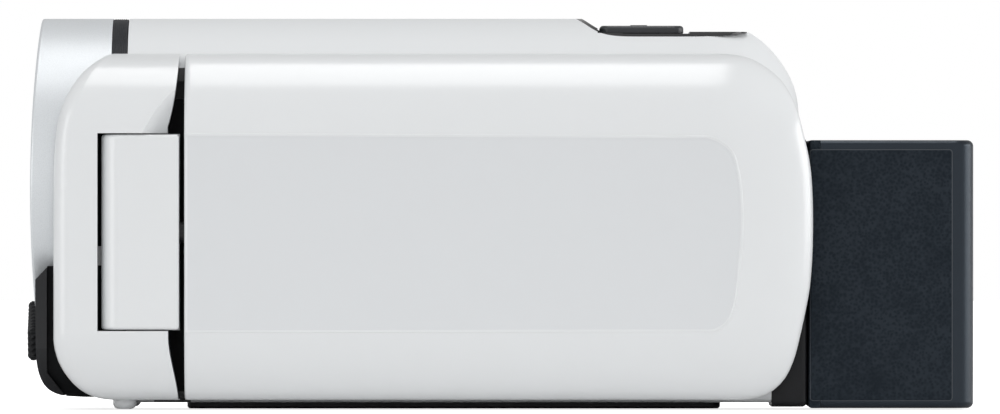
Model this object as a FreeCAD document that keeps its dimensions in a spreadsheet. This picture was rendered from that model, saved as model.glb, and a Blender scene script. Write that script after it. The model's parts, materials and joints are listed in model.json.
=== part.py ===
"""Compact handheld camcorder, built as separate solids in one parametric document.

Frame: millimetres, +Z up, -X towards the lens, -Y towards the screen side, +Y towards the
hand-strap side. The origin is the mouth of the tripod socket, on the resting plane.
"""
import FreeCAD, Part

import math
import os
import re

from FreeCAD import Placement, Rotation
from FreeCAD import Vector as V

os.makedirs("parts", exist_ok=True)
doc = FreeCAD.newDocument("camcorder")

# ---------------------------------------------------------------- driving dimensions
# (alias, value, what it is)
DIMS = [
    ("axis_y", 1.8, "optical axis, offset to the grip side"),
    ("axis_z", 34.3, "optical axis, height above the resting plane"),
    ("ring_rad", 23.8, "outer radius of the front barrel ring"),
    ("ring_wall", 2.2, "wall of the front barrel ring"),
    ("ring_front", -58.6, "raw front end of the barrel ring before its curved face"),
    ("ring_back", -46.0, "rear end of the barrel ring"),
    ("crown_rad", 270.0, "radius of the bowed front face"),
    ("band_back", -43.75, "rear edge of the dark trim band"),
    ("body_front", -43.6, "front edge of the main casing"),
    ("bay_back", 52.05, "casing face the battery plate is screwed to"),
    ("bay_y", -17.2, "outer face of the wall behind the screen"),
    ("grip_y", 25.6, "outer face of the grip side"),
    ("floor_z", 0.95, "underside of the casing"),
    ("shell_wall", 1.5, "casing wall"),
    ("panel_y", -25.4, "outer face of the closed screen panel"),
    ("panel_back_y", -17.6, "inner face of the closed screen panel"),
    ("panel_x", -35.0, "hinge end of the screen panel"),
    ("hinge_x", -44.7, "vertical hinge axis, x"),
    ("hinge_y", -22.8, "vertical hinge axis, y"),
    ("hinge_rad", 2.6, "radius of the hinge block's rolled edge"),
    ("hinge_lo", 11.8, "underside of the hinge block"),
    ("hinge_hi", 40.7, "top of the hinge block"),
    ("hinge_pin_rad", 1.0, "hinge pin radius"),
    ("tilt_z", 26.25, "height of the tilt shaft"),
    ("tilt_y", -22.6, "tilt shaft, y"),
    ("tilt_rad", 1.6, "tilt shaft radius"),
    ("run_gap", 0.05, "radial running clearance"),
    ("bat_x", 57.55, "front face of the battery"),
    ("bat_back", 82.1, "rear face of the battery"),
    ("bat_lo_y", -16.3, "battery, screen side"),
    ("bat_hi_y", 14.3, "battery, grip side"),
    ("bat_lo_z", 0.1, "battery underside"),
    ("bat_hi_z", 39.9, "battery top"),
    ("bat_wall", 1.0, "battery case wall"),
    ("plate_front", 52.1, "battery plate, front face"),
    ("plate_back", 57.35, "battery plate, rear face"),
    ("socket_rad", 3.175, "tripod socket radius, for a quarter-inch screw"),
    ("socket_len", 5.5, "tripod socket depth"),
    ("bush_rad", 5.2, "tripod bush outer radius"),
    ("base_lo_x", -34.8, "base plate, front end"),
    ("base_hi_x", 44.5, "base plate, rear end"),
    ("base_t", 0.9, "base plate thickness"),
    ("lens_rad", 11.4, "front lens radius"),
    ("tube_rad", 14.0, "lens tube outer radius"),
    ("tube_bore", 12.6, "lens tube bore radius"),
    ("rod_rad", 0.8, "guide rod radius"),
    ("blade_gap", 9.0, "rest height of each lens blade above the axis"),
    ("knob_rad", 27.7, "radius the lens cover knob runs on"),
    ("knob_deg", -56.0, "rest angle of the lens cover knob, from the grip side"),
    ("knob_wide", 5.0, "lens cover knob, radial width"),
    ("knob_span", 18.6, "lens cover knob, angular length"),
    ("saddle_z", 55.35, "floor of the saddle under the top controls"),
    ("lever_lo", 26.6, "zoom lever, front end"),
    ("lever_hi", 39.1, "zoom lever, rear end"),
    ("lever_top", 57.0, "zoom lever, top"),
    ("button_rad", 3.3, "record button radius"),
    ("strap_lo", 14.5, "hand strap, lower edge"),
    ("strap_hi", 37.0, "hand strap, upper edge"),
    ("strap_t", 2.4, "hand strap thickness"),
    ("glass_x", -24.5, "touch glass, front end"),
    ("glass_z", 7.2, "touch glass, lower edge"),
    ("glass_wide", 70.0, "touch glass width"),
    ("glass_high", 39.9, "touch glass height"),
    ("photo_x", 43.2, "photo button, x"),
    ("photo_rad", 3.0, "photo button radius"),
    ("record_y", 19.7, "record button, y"),
    ("record_z", 31.0, "record button, height"),
    ("power_x", -20.0, "power button, x"),
    ("power_z", 39.0, "power button, height"),
    ("power_rad", 3.0, "power button radius"),
    ("jack_x", -6.0, "audio jack, x"),
    ("jack_z", 11.4, "audio jack, height"),
    ("jack_bore", 1.75, "audio jack bore radius"),
    ("speaker_x", 28.0, "speaker, x"),
    ("speaker_z", 20.0, "speaker, height"),
    ("speaker_rad", 7.0, "speaker radius"),
    ("inlet_y", 19.5, "power inlet, y"),
    ("inlet_z", 13.0, "power inlet, height"),
    ("inlet_rad", 1.7, "power inlet bore radius"),
    ("lid_axis_x", 55.6, "power inlet door's hinge axis, x"),
    ("lid_axis_z", 8.7, "power inlet door's hinge axis, height"),
    ("card_lo_x", 14.4, "card door, front end"),
    ("card_hi_x", 41.6, "card door, rear end"),
    ("card_lo_y", -10.4, "card door, screen side"),
    ("card_hi_y", -1.6, "card door, hinge side"),
    ("card_axis_y", -2.0, "card door's hinge axis, y"),
    ("card_axis_z", 0.45, "card door's hinge axis, height"),
    ("slot_lo_x", 15.0, "card socket, front end"),
    ("slot_hi_x", 41.0, "card socket, rear end"),
    ("slot_lo_y", -8.6, "card socket, screen side"),
    ("slot_hi_y", -3.6, "card socket, grip side"),
    ("slot_top", 32.0, "card socket, top"),
    ("deck_z", 3.5, "chassis floor, underside"),
    ("deck_t", 0.8, "chassis sheet thickness"),
    ("spine_y", 16.1, "chassis upright, inner face"),
    ("board_lo_x", -28.0, "main board, front end"),
    ("board_hi_x", 45.0, "main board, rear end"),
    ("board_y", 17.6, "main board, inner face"),
    ("board_t", 1.1, "main board thickness"),
    ("board_lo_z", 8.0, "main board, lower edge"),
    ("board_hi_z", 43.0, "main board, upper edge"),
    ("rail_lo_y", -9.0, "battery rail, screen side"),
    ("rail_hi_y", 7.0, "battery rail, grip side"),
    ("rail_top", 34.0, "battery rails, top"),
    ("foot_x", -43.95, "front feet, x"),
    ("foot_rad", 1.75, "front foot radius"),
    ("foot_high", 1.72, "front foot height"),
    ("anchor_front", -34.0, "front strap bar, x"),
    ("anchor_rear", 46.5, "rear strap bar, x"),
    ("anchor_y", 27.4, "strap bars, y"),
    ("anchor_rad", 0.9, "strap bar radius"),
    ("screw_rad", 0.9, "zoom lead screw radius"),
]
sheet = doc.addObject("Spreadsheet::Sheet", "Dims")
sheet.set("A1", "what it is")
sheet.set("B1", "millimetres or degrees")
for row, (alias, value, note) in enumerate(DIMS, start=2):
    sheet.set("A%d" % row, note)
    sheet.set("B%d" % row, str(value))
    sheet.setAlias("B%d" % row, alias)
doc.recompute()
dim = {alias: float(sheet.get(alias)) for alias, _, _ in DIMS}
ALIASES = re.compile(r"\b(" + "|".join(sorted(dim, key=len, reverse=True)) + r")\b")

AXIS_Y, AXIS_Z = dim["axis_y"], dim["axis_z"]
RING_RAD = dim["ring_rad"]

# Places shared by several pieces.
FULL_WIDTH = (-30.0, 40.0)  # y range that clears the whole product
SCREEN_HALF = (-30.0, 0.0)  # y range that clears everything on the screen side
BASE_SCREWS = [(-30.0, -8.0), (-30.0, 16.0), (40.0, 16.0), (8.0, -8.5)]  # x, y
SCREEN_FOOT_Y, GRIP_FOOT_Y = -17.4, 16.0
STRAP_BARS = ("anchor_front", "anchor_rear")
STRAP_POSTS_Z = (16.0, 35.0)


# ---------------------------------------------------------------- sheet bindings
# A size or place is a plain number or an expression naming cells of the sheet.
def bind(part, prop, value):
    """Ties a property to the sheet where value is an expression; a plain number is only set."""
    if isinstance(value, str):
        part.setExpression(prop, ALIASES.sub(r"Dims.\1", value))
    elif prop.startswith("Placement.Base."):
        base = V(part.Placement.Base)
        setattr(base, prop[-1], float(value))
        part.Placement = Placement(base, part.Placement.Rotation)
    else:
        setattr(part, prop, float(value))


def reach(start, end):
    """The distance from start to end, as an expression where either end names a cell."""
    if isinstance(start, str) or isinstance(end, str):
        return "(%s) - (%s)" % (end, start)
    return float(end) - float(start)


BUILDERS = []


def piece(build):
    """Lists the builder of one real piece; the function's name is the piece's Label."""
    BUILDERS.append(build)
    return build


# ---------------------------------------------------------------- solids and booleans
TURN = {
    "X": Rotation(V(0, 1, 0), 90),
    "Y": Rotation(V(1, 0, 0), -90),
    "Z": Rotation(),
}


def move(part, place):
    for name, value in zip("xyz", place):
        bind(part, "Placement.Base." + name, value)


def box(x0, x1, y0, y1, z0, z1):
    block = doc.addObject("Part::Box", "Box")
    bind(block, "Length", reach(x0, x1))
    bind(block, "Width", reach(y0, y1))
    bind(block, "Height", reach(z0, z1))
    move(block, (x0, y0, z0))
    return block


def box_y(rect, y0, y1, grow=0.0):
    """Box over a rectangle (x0, x1, z0, z1), grown on all four sides, from y0 to y1."""
    x0, x1, z0, z1 = rect
    return box(x0 - grow, x1 + grow, y0, y1, z0 - grow, z1 + grow)


def cylinder(axis, radius, start, end, u, v):
    """Cylinder along an axis; u and v are its other two coordinates, in X, Y, Z order."""
    rod = doc.addObject("Part::Cylinder", "Cylinder")
    bind(rod, "Radius", radius)
    bind(rod, "Height", reach(start, end))
    rod.Placement = Placement(V(0, 0, 0), TURN[axis])
    move(rod, {"X": (start, u, v), "Y": (u, start, v), "Z": (u, v, start)}[axis])
    return rod


def axis_disc(radius, x0, x1):
    return cylinder("X", radius, x0, x1, "axis_y", "axis_z")


def cut(base, *tools):
    for tool in tools:
        step = doc.addObject("Part::Cut", "Cut")
        step.Base, step.Tool = base, tool
        base = step
    return base


def fuse(*shapes):
    joined = doc.addObject("Part::MultiFuse", "Fuse")
    joined.Shapes = list(shapes)
    joined.Refine = True
    return joined


def common(*shapes):
    overlap = doc.addObject("Part::MultiCommon", "Common")
    overlap.Shapes = list(shapes)
    return overlap


def group(*shapes):
    compound = doc.addObject("Part::Compound", "Group")
    compound.Links = list(shapes)
    return compound


def treat_edges(kind, base, sizes, pick):
    """Tries each size on the edges whose bounding boxes pick accepts.

    The kernel can refuse a size, so the first valid result is kept, or else the sharp base.
    """
    doc.recompute()
    chosen = [i for i, edge in enumerate(base.Shape.Edges, start=1) if pick(edge.BoundBox)]
    for size in sizes if chosen else ():
        treated = doc.addObject("Part::" + kind, kind)
        treated.Base = base
        treated.Edges = [(i, size, size) for i in chosen]
        doc.recompute()
        if (not treated.Shape.isNull() and treated.Shape.isValid()
                and "Invalid" not in treated.State):
            return treated
        doc.removeObject(treated.Name)
    FreeCAD.Console.PrintWarning("%s left %s sharp\n" % (kind, base.Name))
    return base


def fillet(base, radius, pick):
    return treat_edges("Fillet", base, [radius, 0.8 * radius, 0.6 * radius, 0.4 * radius], pick)


def chamfer(base, size, pick):
    return treat_edges("Chamfer", base, [size], pick)


# ---------------------------------------------------------------- outlines and bodies
def line(start, end):
    return Part.LineSegment(V(start[0], start[1], 0), V(end[0], end[1], 0))


def spline(points):
    curve = Part.BSplineCurve()
    curve.interpolate([V(p[0], p[1], 0) for p in points])
    return curve


def rounded(points):
    """Closed outline of lines and arcs through points (u, v) or (u, v, corner radius)."""
    count = len(points)
    corners, curves = [], []
    for i, point in enumerate(points):
        before, after = points[i - 1], points[(i + 1) % count]
        radius = point[2] if len(point) > 2 else 0.0
        corner = V(point[0], point[1], 0)
        if radius <= 0:
            corners.append((corner, corner, None))
            continue
        back = (V(before[0], before[1], 0) - corner).normalize()
        ahead = (V(after[0], after[1], 0) - corner).normalize()
        half = back.getAngle(ahead) / 2
        setback = radius / math.tan(half)
        middle = corner + (back + ahead).normalize() * (radius / math.sin(half) - radius)
        corners.append((corner + back * setback, corner + ahead * setback, middle))
    for i, (start, end, middle) in enumerate(corners):
        if middle is not None:
            curves.append(Part.Arc(start, middle, end))
        following = corners[(i + 1) % count][0]
        if (following - end).Length > 1e-6:
            curves.append(Part.LineSegment(end, following))
    return curves


def outline(*runs):
    """Closed outline: a list is a smooth curve through its points, a tuple is a sharp corner."""
    curves = []
    spans = [run if isinstance(run, list) else [run] for run in runs]
    for i, points in enumerate(spans):
        if len(points) > 1:
            curves.append(spline(points))
        end, following = points[-1], spans[(i + 1) % len(spans)][0]
        if math.dist(end, following) > 1e-6:
            curves.append(line(end, following))
    return curves


def offset_points(points, distance):
    """Points moved to the right of their direction of travel."""
    moved = []
    for i, point in enumerate(points):
        before, after = points[max(i - 1, 0)], points[min(i + 1, len(points) - 1)]
        along = V(after[0] - before[0], after[1] - before[1], 0).normalize()
        moved.append((point[0] + distance * along.y, point[1] - distance * along.x))
    return moved


def sketch(body, role, offset, geometry):
    base_plane = [o for o in body.Origin.OriginFeatures if o.Role == role][0]
    profile = body.newObject("Sketcher::SketchObject", "Sketch")
    profile.AttachmentSupport = [(base_plane, "")]
    profile.MapMode = "FlatFace"
    if isinstance(offset, str):
        bind(profile, "AttachmentOffset.Base.z", offset)
    else:
        profile.AttachmentOffset = Placement(V(0, 0, offset), Rotation())
    profile.addGeometry(geometry, False)
    return profile


def padded(role, geometry, start, length):
    """A body padded from a sketch; XZ_Plane pads along -Y, the others along + their normal."""
    body = doc.addObject("PartDesign::Body", "Body")
    profile = sketch(body, role, start, geometry)
    pad = body.newObject("PartDesign::Pad", "Pad")
    pad.Profile = profile
    bind(pad, "Length", length)
    return body


def prism_x(geometry, x0, x1):
    """A (y, z) profile from x0 to x1."""
    return padded("YZ_Plane", geometry, x0, reach(x0, x1))


def prism_y(geometry, y0, y1):
    """An (x, z) profile from y0 to y1, both plain numbers."""
    return padded("XZ_Plane", geometry, -y1, y1 - y0)


def prism_z(geometry, z0, z1):
    """An (x, y) profile from z0 to z1."""
    return padded("XY_Plane", geometry, z0, reach(z0, z1))


def revolved(geometry):
    """A body turned about the optical axis from an (x, radius) profile."""
    body = doc.addObject("PartDesign::Body", "Body")
    profile = sketch(body, "XZ_Plane", 0.0, geometry)
    turn = body.newObject("PartDesign::Revolution", "Turn")
    turn.Profile = profile
    turn.ReferenceAxis = (profile, ["H_Axis"])
    turn.Angle = 360
    bind(body, "Placement.Base.y", "axis_y")
    bind(body, "Placement.Base.z", "axis_z")
    return body


def polar(radius, degrees):
    """(y, z) about the optical axis, the angle measured from +Y towards +Z."""
    angle = math.radians(degrees)
    return AXIS_Y + radius * math.cos(angle), AXIS_Z + radius * math.sin(angle)


def sector(r0, r1, deg0, deg1, x0, x1):
    """Part of a ring about the optical axis, between two angles."""
    inner, outer = [
        [V(*polar(radius, deg), 0) for deg in (deg0, (deg0 + deg1) / 2, deg1)]
        for radius in (r0, r1)
    ]
    return prism_x([
        Part.Arc(*inner),
        Part.LineSegment(inner[2], outer[2]),
        Part.Arc(*reversed(outer)),
        Part.LineSegment(outer[0], inner[0]),
    ], x0, x1)


# ---------------------------------------------------------------- casing envelope
# Top line of the casing's tail (x, z), running rearward and down.
REAR = [
    (41.5, 58.1), (45.0, 57.72), (48.0, 56.6), (50.3, 55.2), (52.3, 53.4),
    (54.1, 51.1), (55.35, 48.8), (56.05, 46.5), (56.25, 44.6),
]
# Saddle across the top that the dark control plate lies in (x, z), running rearward.
SADDLE = [
    (22.6, 58.3), (24.3, 57.35), (26.3, 56.1), (28.6, 55.5), (32.0, dim["saddle_z"]),
    (38.0, dim["saddle_z"]), (42.5, 55.38), (46.0, 55.6), (48.9, 56.05), (50.8, 56.5),
]
CROWN_STEPS = 14  # intervals along the barrel top of a section
FLOOR_CORNER = 10.0  # radius between the floor and the grip side
SCREEN_CORNER = 2.0  # radius between the floor and the screen side
BAY_HI_Y, BAY_HI_Z = 14.9, 40.7  # battery bay, grip side and top


def eased(x, start, radius):
    """How far a quarter-round of this radius, starting at x = start, has turned in by x."""
    along = min(max(x - start, 0.0), radius)
    return radius - math.sqrt(radius * radius - along * along)


def casing_wire(x, top, right, low, inset):
    """A cross-section: a barrel top, a flat grip side, a flat floor and a flat screen side."""
    left = dim["bay_y"] + inset
    wide, tall = right - AXIS_Y, top - AXIS_Z
    screen_rad = RING_RAD - inset
    corner, small = FLOOR_CORNER - inset, max(SCREEN_CORNER - inset, 0.5)
    left_angle = math.acos((left - AXIS_Y) / screen_rad)
    crown = []
    for k in range(CROWN_STEPS, -1, -1):
        angle = left_angle * k / CROWN_STEPS
        half = screen_rad if angle > math.pi / 2 else wide
        crown.append(V(x, AXIS_Y + half * math.cos(angle), AXIS_Z + tall * math.sin(angle)))
    barrel = Part.BSplineCurve()
    barrel.interpolate(crown)
    bend = 1 - math.sqrt(0.5)
    grip_arc = [
        V(x, right, low + corner),
        V(x, right - corner * bend, low + corner * bend),
        V(x, right - corner, low),
    ]
    screen_arc = [
        V(x, left + small, low),
        V(x, left + small * bend, low + small * bend),
        V(x, left, low + small),
    ]
    return Part.Wire([
        barrel.toShape(),
        Part.makeLine(crown[-1], grip_arc[0]),
        Part.Arc(*grip_arc).toShape(),
        Part.makeLine(grip_arc[2], screen_arc[0]),
        Part.Arc(*screen_arc).toShape(),
        Part.makeLine(screen_arc[2], crown[0]),
    ])


def casing_solid(inset, front):
    """The casing envelope: straight from the front, then drawn in towards the rear."""
    rear = offset_points(REAR, inset)
    right, low = dim["grip_y"] - inset, dim["floor_z"] + inset
    side_rad, low_rad = max(2.0 - inset, 0.4), max(3.0 - inset, 0.5)
    end = rear[-1][0]
    sections = []
    for x, z in rear:
        side = right - eased(x, end - side_rad, side_rad)
        floor = low + eased(x, end - low_rad, low_rad)
        sections.append(casing_wire(x, z, side, floor, inset))
    tail = Part.makeLoft(sections, True, False)
    x0, z0 = rear[0]
    trunk = Part.Face(casing_wire(front, z0, right, low, inset)).extrude(V(x0 - front, 0, 0))
    solid = doc.addObject("Part::Feature", "Casing")
    solid.Shape = trunk.fuse(tail).removeSplitter()
    return solid


def saddle(drop=0.0):
    """Everything above the saddle line, lowered by drop."""
    low = offset_points(SADDLE, drop)
    above = 62.0
    return prism_y(outline(low, (low[-1][0], above), (low[0][0], above)), *FULL_WIDTH)


def casing_shell():
    """The hollow casing with the battery bay and the saddle cut out of it."""
    outer = casing_solid(0.0, dim["body_front"])
    bay = box("bay_back", 70.0, -40.0, BAY_HI_Y, -5.0, BAY_HI_Z)
    inner = casing_solid(dim["shell_wall"], dim["body_front"] - 1.0)
    bay_room = box(
        "bay_back - shell_wall", 70.0, -40.0, f"{BAY_HI_Y} + shell_wall",
        -5.0, f"{BAY_HI_Z} + shell_wall",
    )
    inner_room = cut(inner, bay_room, saddle(dim["shell_wall"]))
    return cut(outer, bay, saddle(), inner_room)


shell = casing_shell()


# ---------------------------------------------------------------- casing pieces
def above_seam(gap):
    """The space above the stepped seam between cover and shell, lowered by gap."""
    return fuse(
        box(-60.0, 80.0, -40.0, 40.0, 46.1 - gap, 70.0),
        box(-60.0, 80.0, 5.0 - gap, 40.0, 38.0 - gap, 70.0),
        box(50.5 - gap, 80.0, -40.0, 14.0, BAY_HI_Z - gap, 70.0),
    )


def lever_slot():
    return box("lever_lo + 3.2", "lever_hi - 3.3", -4.6, 6.6, 50.0, 60.0)


def lever_room():
    return box("lever_lo - 0.3", "lever_hi + 0.3", -8.2, 10.2, 55.85, 60.0)


def photo_clearance(low):
    return cylinder("Z", "photo_rad + 0.2", low, 60.0, "photo_x", "axis_y")


@piece
def top_cover():
    stem_hole = cylinder("Z", 2.1, 50.0, 60.0, "photo_x", "axis_y")
    photo_hole = fuse(stem_hole, photo_clearance(54.9))
    return cut(common(shell, above_seam(0.0)), lever_slot(), photo_hole, lever_room())


@piece
def grip_side_shell():
    bay_opening = box(-39.6, 50.4, -19.0, -15.6, 2.5, 46.0)
    front_notch = fuse(
        box(-45.0, -41.9, -30.0, -12.8, 0.0, 2.7),
        box(-45.0, -41.9, 13.0, 19.0, 0.0, 2.7),
    )
    bush_hole = cylinder("Z", "bush_rad + 0.05", -1.0, 8.0, 0.0, 0.0)
    card_mouth = box(14.6, 41.4, -10.4, -1.6, -1.0, 3.0)
    record_hole = cylinder("X", "button_rad + 1.1", 50.0, 60.0, "record_y", "record_z")
    inlet_hole = fuse(
        box(50.0, 60.0, 16.4, 22.6, 8.0, 18.0),
        cylinder("Y", "0.35 + run_gap", 15.8, 23.2, "lid_axis_x", "lid_axis_z"),
    )
    screw_holes = [cylinder("Z", 0.85, 0.0, 4.0, x, y) for x, y in BASE_SCREWS]
    post_holes = [
        cylinder("Y", 0.95, 22.0, 28.0, x, z) for x in STRAP_BARS for z in STRAP_POSTS_Z
    ]
    return cut(
        shell, above_seam(0.08), bay_opening, front_notch, bush_hole, card_mouth,
        record_hole, inlet_hole, *screw_holes, *post_holes,
    )


# Wall behind the screen with its buttons, sockets and speaker slots.
# Rectangles are (x0, x1, z0, z1).
MODE_RECT = (-11.0, -1.0, 37.0, 41.0)
TERMINAL_RECTS = [(-30.0, -22.6, 10.0, 13.2), (-19.0, -12.6, 10.2, 12.6)]
BAY_DRILL = (-18.0, -15.0)  # y range of a cut through the wall


@piece
def bay_panel():
    panel = box(-39.5, 50.3, "bay_y", "bay_y + shell_wall", 2.6, 45.9)
    panel = fillet(
        panel, 1.5,
        lambda edge: abs(edge.YLength - dim["shell_wall"]) < 1e-3 and edge.XLength < 1e-3,
    )
    slot_pitch, slot_high = 2.2, 1.0
    speaker_slots = []
    for k in range(6):
        low = 14.5 + slot_pitch * k
        speaker_slots.append(box_y((22.0, 34.0, low, low + slot_high), *BAY_DRILL))
    return cut(
        panel,
        cylinder("Y", "power_rad + 0.1", *BAY_DRILL, "power_x", "power_z"),
        box_y(MODE_RECT, *BAY_DRILL, grow=0.1),
        *[box_y(rect, *BAY_DRILL) for rect in TERMINAL_RECTS],
        cylinder("Y", "jack_bore + run_gap", *BAY_DRILL, "jack_x", "jack_z"),
        *speaker_slots,
    )


@piece
def power_button():
    cap = cylinder("Y", "power_rad", "bay_y - 0.15", "bay_y + 1.9", "power_x", "power_z")
    cap = fillet(cap, 0.3, lambda edge: edge.YMax < -17.3)
    flange = cylinder(
        "Y", "power_rad + 0.6", "bay_y + 1.6", "bay_y + 1.9", "power_x", "power_z"
    )
    return fuse(cap, flange)


@piece
def mode_button():
    cap = fillet(box_y(MODE_RECT, -17.35, -15.3), 0.3, lambda edge: edge.YMax < -17.3)
    return fuse(cap, box_y(MODE_RECT, -15.6, -15.3, grow=0.6))


@piece
def terminal_jacks():
    jacks = [
        cut(box_y(rect, -15.65, -9.0, grow=1.0), box_y(rect, -16.0, -10.0))
        for rect in TERMINAL_RECTS
    ]
    barrel = cylinder("Y", "jack_bore + 1.25", "bay_y + 1.55", -7.0, "jack_x", "jack_z")
    bore = cylinder("Y", "jack_bore", -16.0, -8.0, "jack_x", "jack_z")
    return group(*jacks, cut(barrel, bore))


@piece
def speaker():
    return fuse(
        cylinder("Y", "speaker_rad", "bay_y + 1.6", -13.8, "speaker_x", "speaker_z"),
        cylinder("Y", "speaker_rad - 3", -13.8, -12.0, "speaker_x", "speaker_z"),
    )


# ---------------------------------------------------------------- front barrel and chin
@piece
def barrel_ring():
    bore = RING_RAD - dim["ring_wall"]
    ring = revolved(rounded([
        (dim["ring_back"], RING_RAD), (dim["ring_front"], RING_RAD),
        (dim["ring_front"], 22.3), (-55.2, 20.45), (-53.6, 20.45),
        (-53.6, bore), (dim["ring_back"], bore),
    ]))
    bowed_face = cylinder("Y", "crown_rad", *FULL_WIDTH, "-57.9 + crown_rad", 31.7)
    ring = common(ring, bowed_face)
    ring = cut(ring, box(-48.6, -40.0, -30.0, -15.0, 10.5, 42.0))
    return fillet(ring, 0.35, lambda edge: edge.XMax < -56.2 and edge.YLength > 46.5)


@piece
def trim_band():
    return cut(
        axis_disc("ring_rad - 0.1", -45.9, "band_back"),
        axis_disc("ring_rad - 2.3", -47.0, -42.0),
        box(-50.0, -40.0, -30.0, 40.0, 0.0, 21.3),
        box(-50.0, -40.0, -30.0, -14.0, 0.0, 42.2),
    )


# Front line of the chin (x, z), running down.
CHIN_OUT = [
    (-57.15, 19.2), (-57.15, 15.0), (-57.1, 10.5), (-56.9, 6.6),
    (-56.35, 4.5), (-55.5, 3.15), (-54.2, 2.3), (-53.0, 1.98),
]
MICS = [(-9.0, 7.6), (-1.0, 7.6)]  # y, z
MIC_RAD = 2.0
KNOB_DEG = dim["knob_deg"]
SLOT_REACH = 18.0  # degrees the cover switch's slots run on past its rest angle


def switch_slot(r0, r1, margin, x0, x1):
    """Arc slot for the lens cover switch, with margin degrees added at both ends."""
    return sector(r0, r1, KNOB_DEG - SLOT_REACH - margin, KNOB_DEG + margin, x0, x1)


@piece
def chin_bezel():
    side = outline(CHIN_OUT, (-53.2, 2.5), (-55.45, 5.4), (-55.45, 21.0))
    face = rounded([(-21.0, 30.0), (-21.0, 1.0, 8.0), (24.9, 1.0, 9.0), (24.9, 30.0)])
    chin = common(prism_y(side, *FULL_WIDTH), prism_x(face, -60.0, -50.0))
    mic_slots = [
        box(-60.0, -55.0, y - 1.6, y + 1.6, 6.0 + 1.3 * k, 6.6 + 1.3 * k)
        for y, _ in MICS for k in range(3)
    ]
    return cut(
        chin,
        axis_disc("ring_rad + 0.1", -62.0, -40.0),
        switch_slot(26.2, 29.2, 4.5, -60.0, -50.0),
        *mic_slots,
    )


@piece
def microphones():
    return group(*[cylinder("X", MIC_RAD, -55.35, -52.4, y, z) for y, z in MICS])


@piece
def front_housing():
    side = rounded([
        (-55.4, 21.2), (-55.4, 5.45), (-53.1, 2.45), (-52.6, 1.9),
        (-50.0, 1.75), (-43.7, 1.75), (-43.7, 21.2),
    ])
    face = rounded([(-19.8, 30.0), (-19.8, 1.2, 7.0), (24.3, 1.2, 9.0), (24.3, 30.0)])
    house = common(prism_y(side, *FULL_WIDTH), prism_x(face, -60.0, -40.0))
    house = cut(
        house, axis_disc("ring_rad + 0.1", -62.0, -45.85), axis_disc(19.6, -60.0, -40.0)
    )
    sleeve = cut(
        axis_disc(21.4, -51.5, -43.7),
        axis_disc(19.6, -50.6, -43.0),
        axis_disc(12.9, -53.0, -43.0),
    )
    mic_holes = [cylinder("X", MIC_RAD + 0.05, -56.0, -52.3, y, z) for y, z in MICS]
    return cut(
        fuse(house, sleeve), switch_slot(24.2, 30.2, 9.0, -56.0, -54.0), *mic_holes
    )


@piece
def lens_cover_switch():
    """A knob, a stem through the chin's arc slot, and an arm behind it."""
    mid, half_wide, half_span = dim["knob_rad"], dim["knob_wide"] / 2, dim["knob_span"] / 2

    def part(r0, r1, half_angle, x0, x1):
        return sector(r0, r1, KNOB_DEG - half_angle, KNOB_DEG + half_angle, x0, x1)

    knob = part(mid - half_wide, mid + half_wide, half_span, -59.0, -57.3)
    knob = fillet(knob, 0.45, lambda edge: edge.XMax < -58.9 or edge.XLength > 1.6)
    stem = part(26.4, 29.0, 3.5, -57.3, -54.9)
    arm = part(24.5, 29.4, 6.5, -55.0, -54.3)
    return fuse(knob, stem, arm)


# ---------------------------------------------------------------- lens cover and optics
@piece
def lens_surround():
    surround = revolved(rounded([
        (-52.6, 0.0), (-52.6, 21.4), (-53.5, 21.4), (-53.5, 20.2),
        (-55.6, 20.2), (-53.4, 15.6), (-53.4, 0.0),
    ]))
    half_wide, half_high, corner = 11.0, 8.0, 5.0
    window = rounded([
        (AXIS_Y + y * half_wide, AXIS_Z + z * half_high, corner)
        for y, z in ((-1, -1), (1, -1), (1, 1), (-1, 1))
    ])
    return cut(surround, prism_x(window, -58.0, -50.0))


def cover_blade(z0, z1):
    band = box(-53.0, -51.0, "axis_y - 13.5", "axis_y + 13.5", z0, z1)
    return common(axis_disc(21.2, -52.25, -51.85), band)


@piece
def lens_cover_blade_upper():
    return cover_blade("axis_z + blade_gap + 0.05", 70.0)


@piece
def lens_cover_blade_lower():
    return cover_blade(0.0, "axis_z - blade_gap - 0.05")


@piece
def lens_tube():
    outer, bore = dim["tube_rad"], dim["tube_bore"]
    return revolved(rounded([
        (-50.4, 11.5), (-50.4, outer), (-47.0, outer), (-47.0, 19.5), (-46.0, 19.5),
        (-46.0, outer), (-1.5, outer), (-1.5, 5.0), (-3.0, 5.0), (-3.0, bore),
        (-44.0, bore), (-44.0, 10.3), (-45.0, 10.3), (-45.0, 11.5),
    ]))


def bulged_middle(apex_x, side, radius, bulge):
    """Middle of the arc from a lens face's apex to its rim; side is 1 in front, -1 behind."""
    sphere = (radius * radius + bulge ** 2) / (2 * bulge)
    angle = math.asin(radius / sphere) / 2
    return V(apex_x + side * sphere * (1 - math.cos(angle)), sphere * math.sin(angle), 0)


def lens(front, back, radius, front_bulge, back_bulge):
    """A lens about the optical axis with rims at front and back; its faces bulge out or are flat."""
    front_apex, back_apex = V(front - front_bulge, 0, 0), V(back + back_bulge, 0, 0)
    front_rim, back_rim = V(front, radius, 0), V(back, radius, 0)
    front_mid = bulged_middle(front_apex.x, 1, radius, front_bulge)
    if back_bulge:
        back_mid = bulged_middle(back_apex.x, -1, radius, back_bulge)
        back_face = Part.Arc(back_rim, back_mid, back_apex)
    else:
        back_face = Part.LineSegment(back_rim, back_apex)
    return revolved([
        Part.Arc(front_apex, front_mid, front_rim),
        Part.LineSegment(front_rim, back_rim),
        back_face,
        Part.LineSegment(back_apex, front_apex),
    ])


# Rods and shafts inside the tube (y, z).
RODS = [polar(10.6, 60), polar(10.6, 240)]
ZOOM_SHAFT = polar(10.2, -30)
FOCUS_SHAFT = polar(10.2, 150)


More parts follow.
